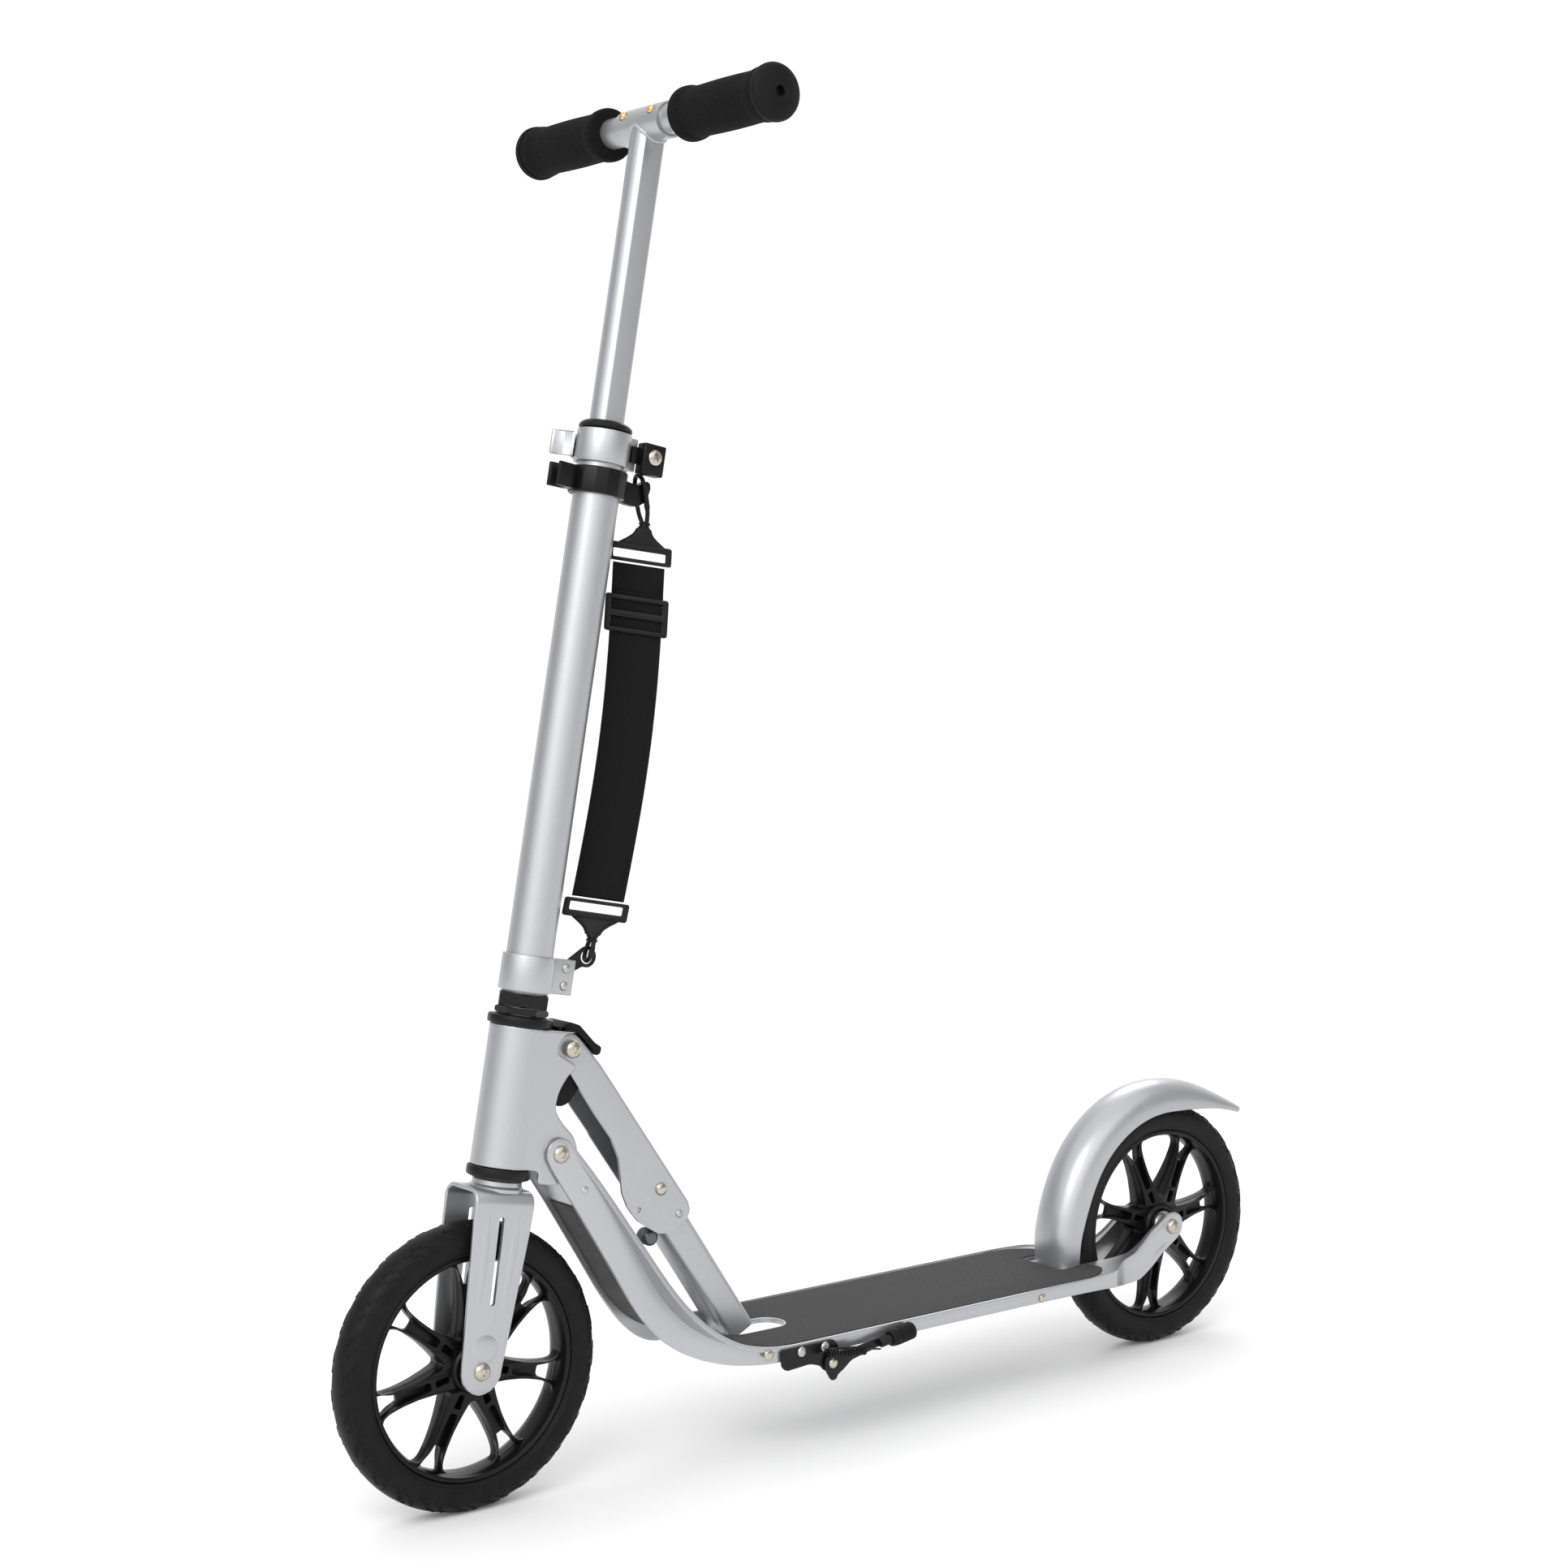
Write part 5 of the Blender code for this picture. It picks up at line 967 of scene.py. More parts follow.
def webbing():
    """Woven tape with cross ribs and rolled edges, and a second layer folded back below the slider."""
    s0, s1, pitch = U_LOW + 0.0012, U_TOP - 0.0012, 0.0013
    layers = []
    for low, high, out0, out1 in ((s0, s1, -0.0016, -0.0002), (s0 + 0.0010, s1 - 0.020, 0.0001, 0.0015)):
        n = round((high - low) / pitch) * 2
        rings = []
        for i in range(n + 1):
            s = low + (high - low) * i / n
            rib = 0.00011 if i % 2 else -0.00011
            hw = STRAP_HW - 0.0002 + 0.00012 * (i % 2)
            face = [(-hw, 0.35), (-hw + 0.0004, 0.85), (-hw + 0.0016, 1.0), (-0.006, 1.0), (0.006, 1.0),
                (hw - 0.0016, 1.0),
                    (hw - 0.0004, 0.85), (hw, 0.35)]
            mid, th = (out0 + out1) / 2, (out1 - out0) / 2 - 0.00011
            ring = [strap_pt(s, a, mid + (th + rib) * v) for a, v in face]
            ring += [strap_pt(s, a, mid - (th + rib) * v) for a, v in reversed(face)]
            rings.append(ring)
        layers.append(loft(rings))
    for a in (-0.0155, 0.0155):       # edge stitching where the tape is folded back
        for low in (U_LOW + 0.012, U_TOP - 0.030):
            for i in range(5):
                s = low + 0.0042 * i
                layers.append(tube([strap_pt(s, a, 0.0013), strap_pt(s + 0.0010, a, 0.00185),
                    strap_pt(s + 0.0022, a, 0.00185),
                                    strap_pt(s + 0.0031, a, 0.0013)], 0.0003, 1))
    return piece("strap_tape", join(*layers), "webbing", "strap_webbing", angle=60)


webbing()


def strap_frame(s0, s1, half, thick, openings, edge=0.0008):
    """Moulded rectangular frame lying across the tape, with its openings given as low and high heights."""
    mid = (s0 + s1) / 2
    d = bow(mid)
    lean = (strap_pt(s1) - strap_pt(s0)).normalized()
    x = STEER.to_3x3() @ ACROSS
    m = Matrix((x, lean, x.cross(lean))).transposed().to_4x4()
    m.translation = strap_pt(mid, d=d)
    h = (s1 - s0) / 2
    loop = eased([(-half, -h), (half, -h), (half, h), (-half, h)], 0.0022, 4)
    holes = [eased([(-STRAP_HW, a - mid), (STRAP_HW, a - mid), (STRAP_HW, b - mid), (-STRAP_HW, b - mid)],
        0.0010, 3)
             for a, b in openings]
    return plate(loop, thick / 2, m, holes, edge), m


sl0 = U_TOP - 0.0510
slider, m = strap_frame(sl0, sl0 + 0.0270, STRAP_HW + 0.0040, 0.0078,
    [(sl0 + 0.0035, sl0 + 0.0110), (sl0 + 0.0160, sl0 + 0.0235)])
piece("tape_slider", slider, "black_plastic", "strap_slider")


def snap_hook(name, node, s, way, tip_s, tip_d, wide):
    """Tape bar and triangular shoulder, swivel barrel, then an oval hook with a sprung gate."""
    d = bow(s)
    up = STEER.to_3x3() @ Vector((0, 0, 1))
    a, b = sorted((s, s + 0.0135 * way))
    bars, _ = strap_frame(a, b, STRAP_HW + 0.0045, 0.0052, [sorted((s + 0.0026 * way, s + 0.0088 * way))],
        0.0009)
    keys = []
    for h, w, t in ((0.0118, 0.0190, 0.0021), (0.0140, 0.0165, 0.0024), (0.0175, 0.0115, 0.0030),
        (0.0215, 0.0072, 0.0037),
                    (0.0250, 0.0056, 0.0040)):
        keys.append([strap_pt(s, w * math.copysign(abs(math.cos(g)) ** 0.5, math.cos(g)),
                              t * math.copysign(abs(math.sin(g)) ** 0.8, math.sin(g)), d) + up * (h * way)
                     for g in np.linspace(0, 2 * math.pi, 24, endpoint=False)])
    shoulder = loft(between(keys, 0.0008))
    barrel_m = STEER @ Matrix.Translation((-d, 0,
        s + 0.0250 * way)) @ Matrix.Rotation(0 if way > 0 else math.pi, 4, "X")
    barrel = lathe([(0, -0.0004), (0.0040, -0.0004), (0.0044, 0.0002), (0.0044, 0.0014), (0.0036, 0.0018),
        (0.0036, 0.0028),
                    (0.0043, 0.0032), (0.0043, 0.0042), (0.0036, 0.0050), (0, 0.0052)], barrel_m, 32)
    base = s + 0.0290 * way
    lean, top = tip_d - d, tip_s - base
    oval = [(0.0030, 0.02), (wide * 0.9, 0.22), (wide, 0.45), (wide * 0.98, 0.70), (wide * 0.72, 0.92),
        (0.0, 1.0),
            (-wide * 0.72, 0.92), (-wide * 0.98, 0.70), (-wide, 0.45), (-wide * 0.9, 0.22), (-0.0030, 0.02)]
    line = [STEER @ Vector((-(d + lean * v), -a, base + top * v)) for a, v in flowing(oval, 5, loop=False)]
    hook = tube(line, 0.0017, 3)
    gate = tube([STEER @ Vector((-(d + lean * v), wide * 0.98, base + top * v)) for v in (0.30, 0.40, 0.60,
        0.72)], 0.0021, 3)
    return piece(name, join(bars, shoulder, barrel, hook, gate), "black_plastic", node, angle=40)


snap_hook("upper_snap_hook", "strap_hook_upper", U_TOP, 1, k0 + 0.0222, 0.0330, 0.0062)
snap_hook("lower_snap_hook", "strap_hook_lower", U_LOW, -1, c0 + 0.0262, 0.0480, 0.0038)

# ---------------------------------------------------------------- T bar, handles and grips
lo, hi = span("t_bar", STEER)
TB0 = lo[2]
BAR = (STEER.inverted() @ centre("handle_tube_left")).z
FLAT = TBAR_R * 0.80
SLV_R, SLV_HALF, TUBE_R = 0.0132, 0.0270, 0.0110
BAR_FRAME = STEER @ Matrix.Translation((0, 0, BAR)) @ ALONG_Y


def flatted(r, f, s, n=14):
    a = math.acos(f / r)
    pts = []
    for base in (-math.pi / 2, math.pi / 2):
        side = [base + a + (math.pi - 2 * a) * i / n for i in range(n + 1)]
        pts += [(r * math.cos(g), r * math.sin(g)) for g in side]
    pts = eased(pts, 0.0005, 2)
    return [STEER @ Vector((x, y, s)) for x, y in pts]


def t_bar():
    post = loft([flatted(TBAR_R, FLAT, TB0), flatted(TBAR_R, FLAT, BAR - 0.004)])
    h = SLV_HALF
    sleeve = lathe(closed([(TUBE_R + 0.0002, h), (SLV_R - 0.0005, h), (SLV_R - 0.0001, h - 0.0002),
        (SLV_R, h - 0.0006),
                           (SLV_R, -h + 0.0006), (SLV_R - 0.0001, -h + 0.0002), (SLV_R - 0.0005, -h),
                               (TUBE_R + 0.0002, -h)]),
                   BAR_FRAME, 96)
    # weld bead round the foot of the sleeve
    bead = []
    for i in range(96):
        g = 2 * math.pi * i / 96
        x, y = (TBAR_R + 0.0002) * math.cos(g), (TBAR_R + 0.0002) * math.sin(g)
        y = max(-FLAT - 0.0002, min(FLAT + 0.0002, y))
        bead.append(sp(x, BAR - math.sqrt(max(SLV_R ** 2 - x * x, 4e-6)) - 0.0002, y))
    weld = tube(bead, 0.0016, 3, loop=True)
    ripple = [tube([bead[i] + Vector((0, 0, -0.0001)), bead[(i + 1) % 96]], 0.00172, 2) for i in range(0, 96,
        3)]
    me = sleeve
    for s in (1, -1):
        md = STEER @ Matrix.Translation((0, s * 0.0175,
            BAR)) @ Matrix.Rotation(math.pi / 2 - math.radians(24), 4, "Y")
        me = cut(me, lathe([(0, 0.03), (0.0037, 0.03), (0.0037, 0.004), (0, 0.004)], md, 40))
    return piece("t_post", join(post, me, weld, *ripple), "silver_alloy", "t_bar", angle=30)


t_bar()
BAR_HALF = (STEER.inverted() @ Vector(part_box("end_cap_left")[1])).y
for side, tag in ((1, "left"), (-1, "right")):
    mh = STEER @ Matrix.Translation((0, 0, BAR)) @ Matrix.Rotation(-side * math.pi / 2, 4, "X")
    lo, hi = span("handle_tube_" + tag, mh)
    bore = TUBE_R - 0.0015
    tube_me = lathe(closed([(bore, lo[2]), (TUBE_R - 0.0003, lo[2]), (TUBE_R, lo[2] + 0.0003),
        (TUBE_R, hi[2]), (bore, hi[2])]),
                    mh, 80)
    md = STEER @ Matrix.Translation((0, side * 0.0175, BAR)) @ Matrix.Rotation(math.pi / 2 - math.radians(24),
        4, "Y")
    tube_me = cut(tube_me, lathe([(0, 0.03), (0.0035, 0.03), (0.0035, 0.004), (0, 0.004)], md, 32))
    piece("handle_" + tag, tube_me, "silver_alloy", "handle_tube_" + tag)
    button = lathe([(0, 0.0158)] + [(0.0032 * math.cos(math.radians(a)),
        0.0128 + 0.0030 * math.sin(math.radians(a)))
                                    for a in (75, 60, 45, 30, 15, 0)] + [(0.0032, 0.0114), (0, 0.0114)], md,
                                        40)
    piece("button_" + tag, button, "brass", "snap_button_" + tag)
    lo, hi = span("grip_" + tag, mh)
    g0, g1 = lo[2], hi[2]
    outer = flowing([(0.0163, g0 + 0.0002), (0.0183, g0 + 0.0008), (0.0194, g0 + 0.0030),
        (0.0194, g0 + 0.0075),
                     (0.0188, g0 + 0.0108), (0.0178, g0 + 0.0138), (0.0177, g0 + 0.022), (0.0181, g0 + 0.045),
                     (0.0180, g0 + 0.065), (0.0177, g1 - 0.019), (0.0180, g1 - 0.0125), (0.0188, g1 - 0.0080),
                     (0.0189, g1 - 0.0030), (0.0185, g1 - 0.0002)], 5, loop=False)
    foam = lathe(closed([(TUBE_R + 0.0002, g0 + 0.0001)] + outer + [(TUBE_R + 0.0002, g1 - 0.0002)]), mh, 128)
    grip = piece("foam_grip_" + tag, foam, "foam", "grip_" + tag, angle=60)
    top = BAR_HALF
    ridges = [(0.0192, g1), (0.0199, g1 + 0.0003), (0.0200, g1 + 0.0012), (0.0195, g1 + 0.0016),
        (0.0194, g1 + 0.0019),
              (0.0200, g1 + 0.0023), (0.0200, g1 + 0.0032), (0.0193, g1 + 0.0036), (0.0192, g1 + 0.0039),
              (0.0195, g1 + 0.0043), (0.0192, g1 + 0.0051), (0.0180, g1 + 0.0060)]
    crown = [(0.0168, top - 0.0025), (0.0150, top - 0.0018), (0.0120, top - 0.0010), (0.0090, top - 0.0004),
             (0.0062, top - 0.0002), (0.0056, top - 0.0006), (0, top - 0.0006)]
    cap = lathe([(0, g1 - 0.0095), (TUBE_R - 0.0018, g1 - 0.0095), (TUBE_R - 0.0018, g1 - 0.002),
        (TUBE_R + 0.0003, g1 - 0.002),
                 (TUBE_R + 0.0003, g1)] + ridges + crown, mh, 112)
    cap = cut(cap, lathe([(0, top + 0.01), (0.0042, top + 0.01), (0.0042, top - 0.0050), (0, top - 0.0050)],
        mh, 6))
    raised = []
    for k in range(2):      # plain raised leaf outlines on the dome, as a generic relief
        leaf = flowing([(0.0085, -0.10), (0.0120, -0.34), (0.0160, -0.30), (0.0172, 0.0), (0.0160, 0.30),
            (0.0120, 0.34),
                        (0.0085, 0.10)], 4)
        line = []
        for r, a in leaf:
            z = np.interp(r, [0.0062, 0.0090, 0.0120, 0.0150, 0.0168, 0.0180],
                          [top - 0.0002, top - 0.0004, top - 0.0010, top - 0.0018, top - 0.0025,
                              top - 0.0032])
            g = a + math.pi * k + 0.6
            line.append(mh @ Vector((r * math.cos(g), r * math.sin(g), z - 0.0001)))
        raised.append(tube(line, 0.00028, 1, loop=True))
    piece("grip_plug_" + tag, join(cap, *raised), "black_rubber", "end_cap_" + tag, angle=30)

# ---------------------------------------------------------------- deck
REAR = pivot("rear_spin")
HB = pivot("front_spin").x
DECK_HW = 0.0617
DECK_Z = WHEEL_R - 0.0158
SIDE_H = 0.0111
NECK_P, FOOT_P, UPPER_P = pivot("fold"), pivot("strut_lower_turn"), pivot("strut_upper_turn")
KNEE_P = centre("knee_rivet")
KNEE_P.y = 0
ARM_IN = 0.0204


def v3(x, z):
    return Vector((x, 0, z))


def deck_stations():
    """Stations along the rim: top, half widths, drop to the plate, depth, plate and wall thickness."""
    f, z, st = HB, DECK_Z, []
    arm_d = Vector((-0.5417, 0, -0.8406))
    nrm = Vector((-0.8406, 0, 0.5417))
    top = NECK_P + nrm * 0.0148
    e, q, h = Vector((0.861, 0, -0.508)), Vector((0.508, 0, 0.861)), 0.0123
    for t in (-0.985, -0.92, -0.80, -0.60, -0.30, 0.0, 0.8, 1.6):
        k = math.sqrt(max(1 - min(t, 0) ** 2, 0)) * h
        st.append((REAR + e * (t * h) + q * k, DROP_HW, DROP_HW - 0.0003, min(0.0030, k * 0.5), 2 * k,
            min(0.0040, k * 0.6),
                   0.0058, e))
    for x, hw, p, d, t in ((0.0375, 0.0268, 0.0018, 0.0246, 0.0060), (0.0510, 0.0300, 0.0016, 0.0243, 0.0060),
                           (0.0700, 0.0375, 0.0015, 0.0210, 0.0050), (0.0860, 0.0490, 0.0015, 0.0168, 0.0038),
                           (0.0990, 0.0575, 0.0015, 0.0140, 0.0030),
                               (0.1350, 0.0617, 0.0015, 0.0115, 0.0030)):
        zz = z + (0.0068 if x < 0.04 else 0.0012 if x < 0.06 else 0.0)
        st.append((v3(-f + x, zz), hw, None, p, d, 0.0024, t, None))
    for x in (-f + 0.20, f - 0.2500):
        st.append((v3(x, z), DECK_HW, None, 0.0015, SIDE_H, 0.0024, 0.0030, None))
    for x, dz, hw, ws, p, d in ((-0.2340, 0.0005, 1.000, 0.985, 0.0015, 0.0120),
        (-0.2200, 0.0022, 0.998, 0.900, 0.0017, 0.0145),
                                (-0.2050, 0.0055, 0.990, 0.760, 0.0030, 0.0175),
                                    (-0.1920, 0.0108, 0.960, 0.610, 0.0058, 0.0205),
                                (-0.1790, 0.0190, 0.900, 0.490, 0.0100, 0.0232),
                                    (-0.1670, 0.0300, 0.820, 0.410, 0.0145, 0.0250),
                                (-0.1530, 0.0475, 0.725, 0.380, 0.0185, 0.0258)):
        st.append((v3(f + x, z + dz), DECK_HW * hw, DECK_HW * ws, p, d, 0.0024, 0.0030, None))
    last = st[-1][0]
    w0, w1 = DECK_HW * 0.725, ARM_IN + 0.0030
    for g, hw in ((0.33, 0.55), (0.68, 0.18)):
        st.append((last + (top - last) * g, w1 + (w0 - w1) * hw, w1, 0.0190, 0.0261, 0.0024, 0.0030, None))
    for t in (0.0, 0.35, 0.60, 0.80, 0.92, 0.985):
        k = math.sqrt(1 - t * t) * 0.0113
        st.append((NECK_P - arm_d * (t * 0.0113) + nrm * k, w1 + 0.0003, w1, k * 0.8, 2 * k, k * 0.3, 0.0030,
            -arm_d))
    return st


def deck_rings():
    st = deck_stations()
    rings = []
    for i, (p, hw, ws, n0, dn, tw, t, d) in enumerate(st):
        if d is None:
            d = (st[min(i + 1, len(st) - 1)][0] - st[i - 1][0]).normalized()
        up = Vector((-d.z, 0, d.x))
        ws = hw - 0.0003 if ws is None else min(ws, hw - 0.0003)
        t = min(t, ws - 0.004)
        lip = min(0.0040, dn * 0.45)
        r = min(0.0008, dn * 0.12)
        a, b = -min(0.0015, n0 * 0.75), hw - 0.0017
        half = [(ws - t, -n0), (ws - t + 0.0001, a - 0.0001 * n0 / 0.0015), (b - 0.0004, a), (b, a * 0.75),
            (b + 0.0001, -r * 0.3),
                (b + r * 0.5, 0), (hw - r * 0.7, 0), (hw - r * 0.2, -r * 0.2), (hw, -r * 0.8),
                    (hw, -lip + r * 0.4),
                (hw - r * 0.3, -lip), (ws + 0.0001, -lip - 0.0003), (ws, -lip - 0.0009), (ws, -dn + r),
                    (ws - r * 0.3, -dn + r * 0.3),
                (ws - r, -dn), (ws - t + r, -dn), (ws - t, -dn + r), (ws - t, -n0 - tw)]
        ring = [p + up * v + Vector((0, y, 0)) for y, v in half]
        ring += [p + up * v + Vector((0, -y, 0)) for y, v in reversed(half)]
        rings.append(ring)
    return rings


def box_cutter(lo, hi):
    return block(lo, hi, Matrix.Identity(4), 0.0001, 1)


def rounded_slot(x0, x1, hw):
    return [(x0 + hw + hw * math.cos(a), hw * math.sin(a)) for a in np.radians(range(90, 271, 10))] + eased(
        [(x1, -hw), (x1, hw)], 0.002, 2, loop=False)


STRUT_HW = 0.0125
SLOT_X0, SLOT_X1, SLOT_HW = FOOT_P.x - 0.0575, FOOT_P.x + 0.0115, STRUT_HW + 0.0014


def deck():
    me = loft(between(deck_rings(), 0.0045))
    well = WHEEL_R + 0.0055
    me = cut(me, box_cutter((-HB - 0.05, -DROP_HW + 0.0056, WHEEL_R - 0.06),
        (-HB + well, DROP_HW - 0.0056, WHEEL_R + 0.05)),
             box_cutter((-HB + well - 0.003, -0.0232, WHEEL_R - 0.06),
                 (-HB + 0.1275, 0.0232, WHEEL_R + 0.05)),
             plate(rounded_slot(SLOT_X0, SLOT_X1, SLOT_HW), 0.028,
                 Matrix.Translation((0, 0, DECK_Z + 0.0205)), edge=0.0001),
             rod(NECK_P - Vector((0, ARM_IN + 0.00015, 0)), NECK_P + Vector((0, ARM_IN + 0.00015, 0)), 0.0285,
                 96))
    rim_line = rounded_slot(SLOT_X0 - 0.0019, SLOT_X1 + 0.0019, SLOT_HW + 0.0019)
    lip = plate(rim_line, 0.0011, Matrix.Translation((0, 0, DECK_Z - 0.0015 + 0.0003)),
        [rounded_slot(SLOT_X0, SLOT_X1, SLOT_HW)],
                edge=0.0005)
    # crease pads on the rear arms beside the dropout
    pads = []
    e, q = Vector((0.861, 0, -0.508)), Vector((0.508, 0, 0.861))
    for s in (1, -1):
        for lift, a0, a1 in ((0.0078, 0.006, 0.030), (-0.0078, 0.012, 0.040)):
            ridge = []
            for v in np.linspace(0, 1, 16):
                w = 0.0005 + 0.0011 * math.sin(math.pi * v) ** 0.6
                c = REAR + e * (a0 + (a1 - a0) * v) + q * lift
                ridge.append([c + q * (w * math.cos(g)) + Vector((0,
                    s * (DROP_HW - 0.0004 + 0.0008 * math.sin(g) * math.sin(math.pi * v) ** 0.5), 0))
                              for g in np.linspace(0, math.pi, 8)])
            pads.append(loft(ridge))
    return piece("deck_casting", join(me, lip, *pads), "silver_alloy", "deck_frame", angle=28)


deck()


def neck_painted_shade():
    """Dark grey sheet in the channel under the neck, between its two walls: painted shade standing in for the
    shaded underside of the neck.
    """
    rings = []
    st = deck_stations()
    for i, (p, hw, ws, n0, dn, tw, t, d) in enumerate(st):
        if d is not None or p.x < HB - 0.2100:
            continue
        d = (st[i + 1][0] - st[i - 1][0]).normalized()
        up = Vector((-d.z, 0, d.x))
        w = min(ws if ws is not None else hw, hw) - t - 0.0003
        rings.append([p + up * -(n0 + tw + h) + Vector((0, y, 0)) for y,
            h in ((w, 0.0001), (w, 0.0009), (-w, 0.0009), (-w, 0.0001))])
    # a dark sheet placed where the neck's underside is only in shade: painted shade
    return piece("neck_painted_shade", loft(between(rings, 0.006)), "grip_sheet",
        body=frame["nodes"]["deck_frame"]["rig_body"], material=PAINTED_SHADE_GREY)


neck_painted_shade()


def grip_sheet():
    plate_z = DECK_Z - 0.0015
    gx, gh = -HB + 0.1295, DECK_HW - 0.0038
    rows = []
    for p, hw, ws, n0, dn, tw, t, d in deck_stations():
        if ws is None or not 0 < p.x < HB - 0.1950:
            continue
        inner = min(ws - t - 0.0004, gh) if p.x > HB - 0.24 else gh
        if not rows:
            rows.append((gx, inner, plate_z))
        rows.append((p.x, inner, p.z - n0))
    z0, z1, r = 0.0002, 0.0011, 0.0004
    keys = []
    for x, w, z in rows:
        half = [(w, z0), (w, z1 - r), (w - r * 0.3, z1 - r * 0.3), (w - r, z1), (w * 0.5, z1)]
        ring = half + [(-y, h) for y, h in reversed(half)]
        keys.append([Vector((x, y, z + h)) for y, h in ring])
    me = loft(between(keys, 0.006))
    for s in (1, -1):
        line = [(gx + 0.01, gh), (-HB + 0.1330, gh), (-HB + 0.1280, gh - 0.0008), (-HB + 0.1190, gh - 0.0030),
                (-HB + 0.1110, gh - 0.0065), (-HB + 0.1030, gh - 0.0120), (-HB + 0.0990, gh - 0.0165),
                    (-HB + 0.0975, gh - 0.0215),
                (-HB + 0.0985, gh - 0.0270), (-HB + 0.1010, 0.0250), (gx + 0.01, 0.0250)]
        line = [(x, s * y) for x, y in line]
        line = line[:1] + flowing(line[1:9], 4, loop=False) + line[9:]
        me = boolean(me, plate(line, (z1 - z0) / 2, Matrix.Translation((0, 0, plate_z + (z0 + z1) / 2)),
            edge=0.0002), "UNION")
    hs = STRUT_HW + 0.0034
    me = cut(me, plate(rounded_slot(FOOT_P.x - 0.0595, FOOT_P.x + 0.0135, hs), 0.02,
        Matrix.Translation((0, 0, plate_z)), edge=0.0001))
    return piece("grit_mat", me, "grip_sheet", "deck_grip", angle=30)


grip_sheet()
bolt("strut_foot_pin", "strut_foot_rod", FOOT_P, DECK_HW, 0.0042, 0.0016, "bright_steel", shank=0.0027)
bolt("brake_pin", "brake_pivot_rod", pivot("brake_press"), DECK_HW, 0.0034, 0.0012, "bright_steel",
    shank=0.0020)


# ---------------------------------------------------------------- brake fender
def fender():
    top_r, edge_r, hw, th = WHEEL_R + 0.0205, WHEEL_R - 0.0045, 0.0222, 0.0016
    n = 26

    def section(place, w, ro, ri):
        outer, inner = [], []
        for i in range(n + 1):
            g = math.radians(-90 + 180 * i / n)
            c = max(math.cos(g), 0.0) ** 0.62
            outer.append(place(w * math.sin(g), ri + (ro - ri) * c))
            inner.append(place((w - th) * math.sin(g), ri + (ro - th - ri) * c))
        lip = place(w - th / 2, ri - th * 0.35)
        lip2 = place(-w + th / 2, ri - th * 0.35)
        return outer + [lip] + list(reversed(inner)) + [lip2]

    keys = []
    rows = [(-9, top_r + 0.0036, edge_r + 0.0085, hw * 0.97), (0, top_r + 0.0027, edge_r + 0.0056, hw * 0.98),
            (9, top_r + 0.0015, edge_r + 0.0025, hw * 0.99), (18, top_r + 0.0005, edge_r + 0.0006, hw)]
    rows += [(a, top_r, edge_r, hw) for a in (27, 36, 45, 54, 63, 72, 81, 90)]
    rows += [(99, top_r, edge_r + 0.0008, hw), (108, top_r + 0.0003, edge_r + 0.0038, hw),
        (117, top_r + 0.0010, edge_r + 0.0090, hw),
             (125, top_r + 0.0026, edge_r + 0.0150, hw), (131, top_r + 0.0050, edge_r + 0.0205, hw - 0.0008),
             (134.8, top_r + 0.0073, edge_r + 0.0245, hw - 0.0022)]
    for a, ro, ri, w in rows:
        g = math.radians(a)
        keys.append(section(lambda y, r: REAR + Vector((r * math.cos(g), y, r * math.sin(g))), w, ro, ri))
    shell = loft(between(keys, 0.0035))
    eye = pivot("brake_press")
    x0 = -HB + WHEEL_R + 0.0090
    arm = block((x0, -0.0205, DECK_Z - 0.0070), (eye.x - 0.0030, 0.0205, DECK_Z - 0.0043), Matrix.Identity(4),
        0.0008)
    barrel = rod(eye + Vector((0, -0.0205, 0)), eye + Vector((0, 0.0205, 0)), 0.0033, 40, 0.0003)
    return piece("fender_shell", join(shell, arm, barrel), "silver_alloy", "brake_fender", angle=40)


fender()

# ---------------------------------------------------------------- folding strut
BR = local_frame(UPPER_P, KNEE_P - UPPER_P, "X")
LB = (KNEE_P - UPPER_P).length
BRACKET_HW = FIN_Y0 - 0.0006


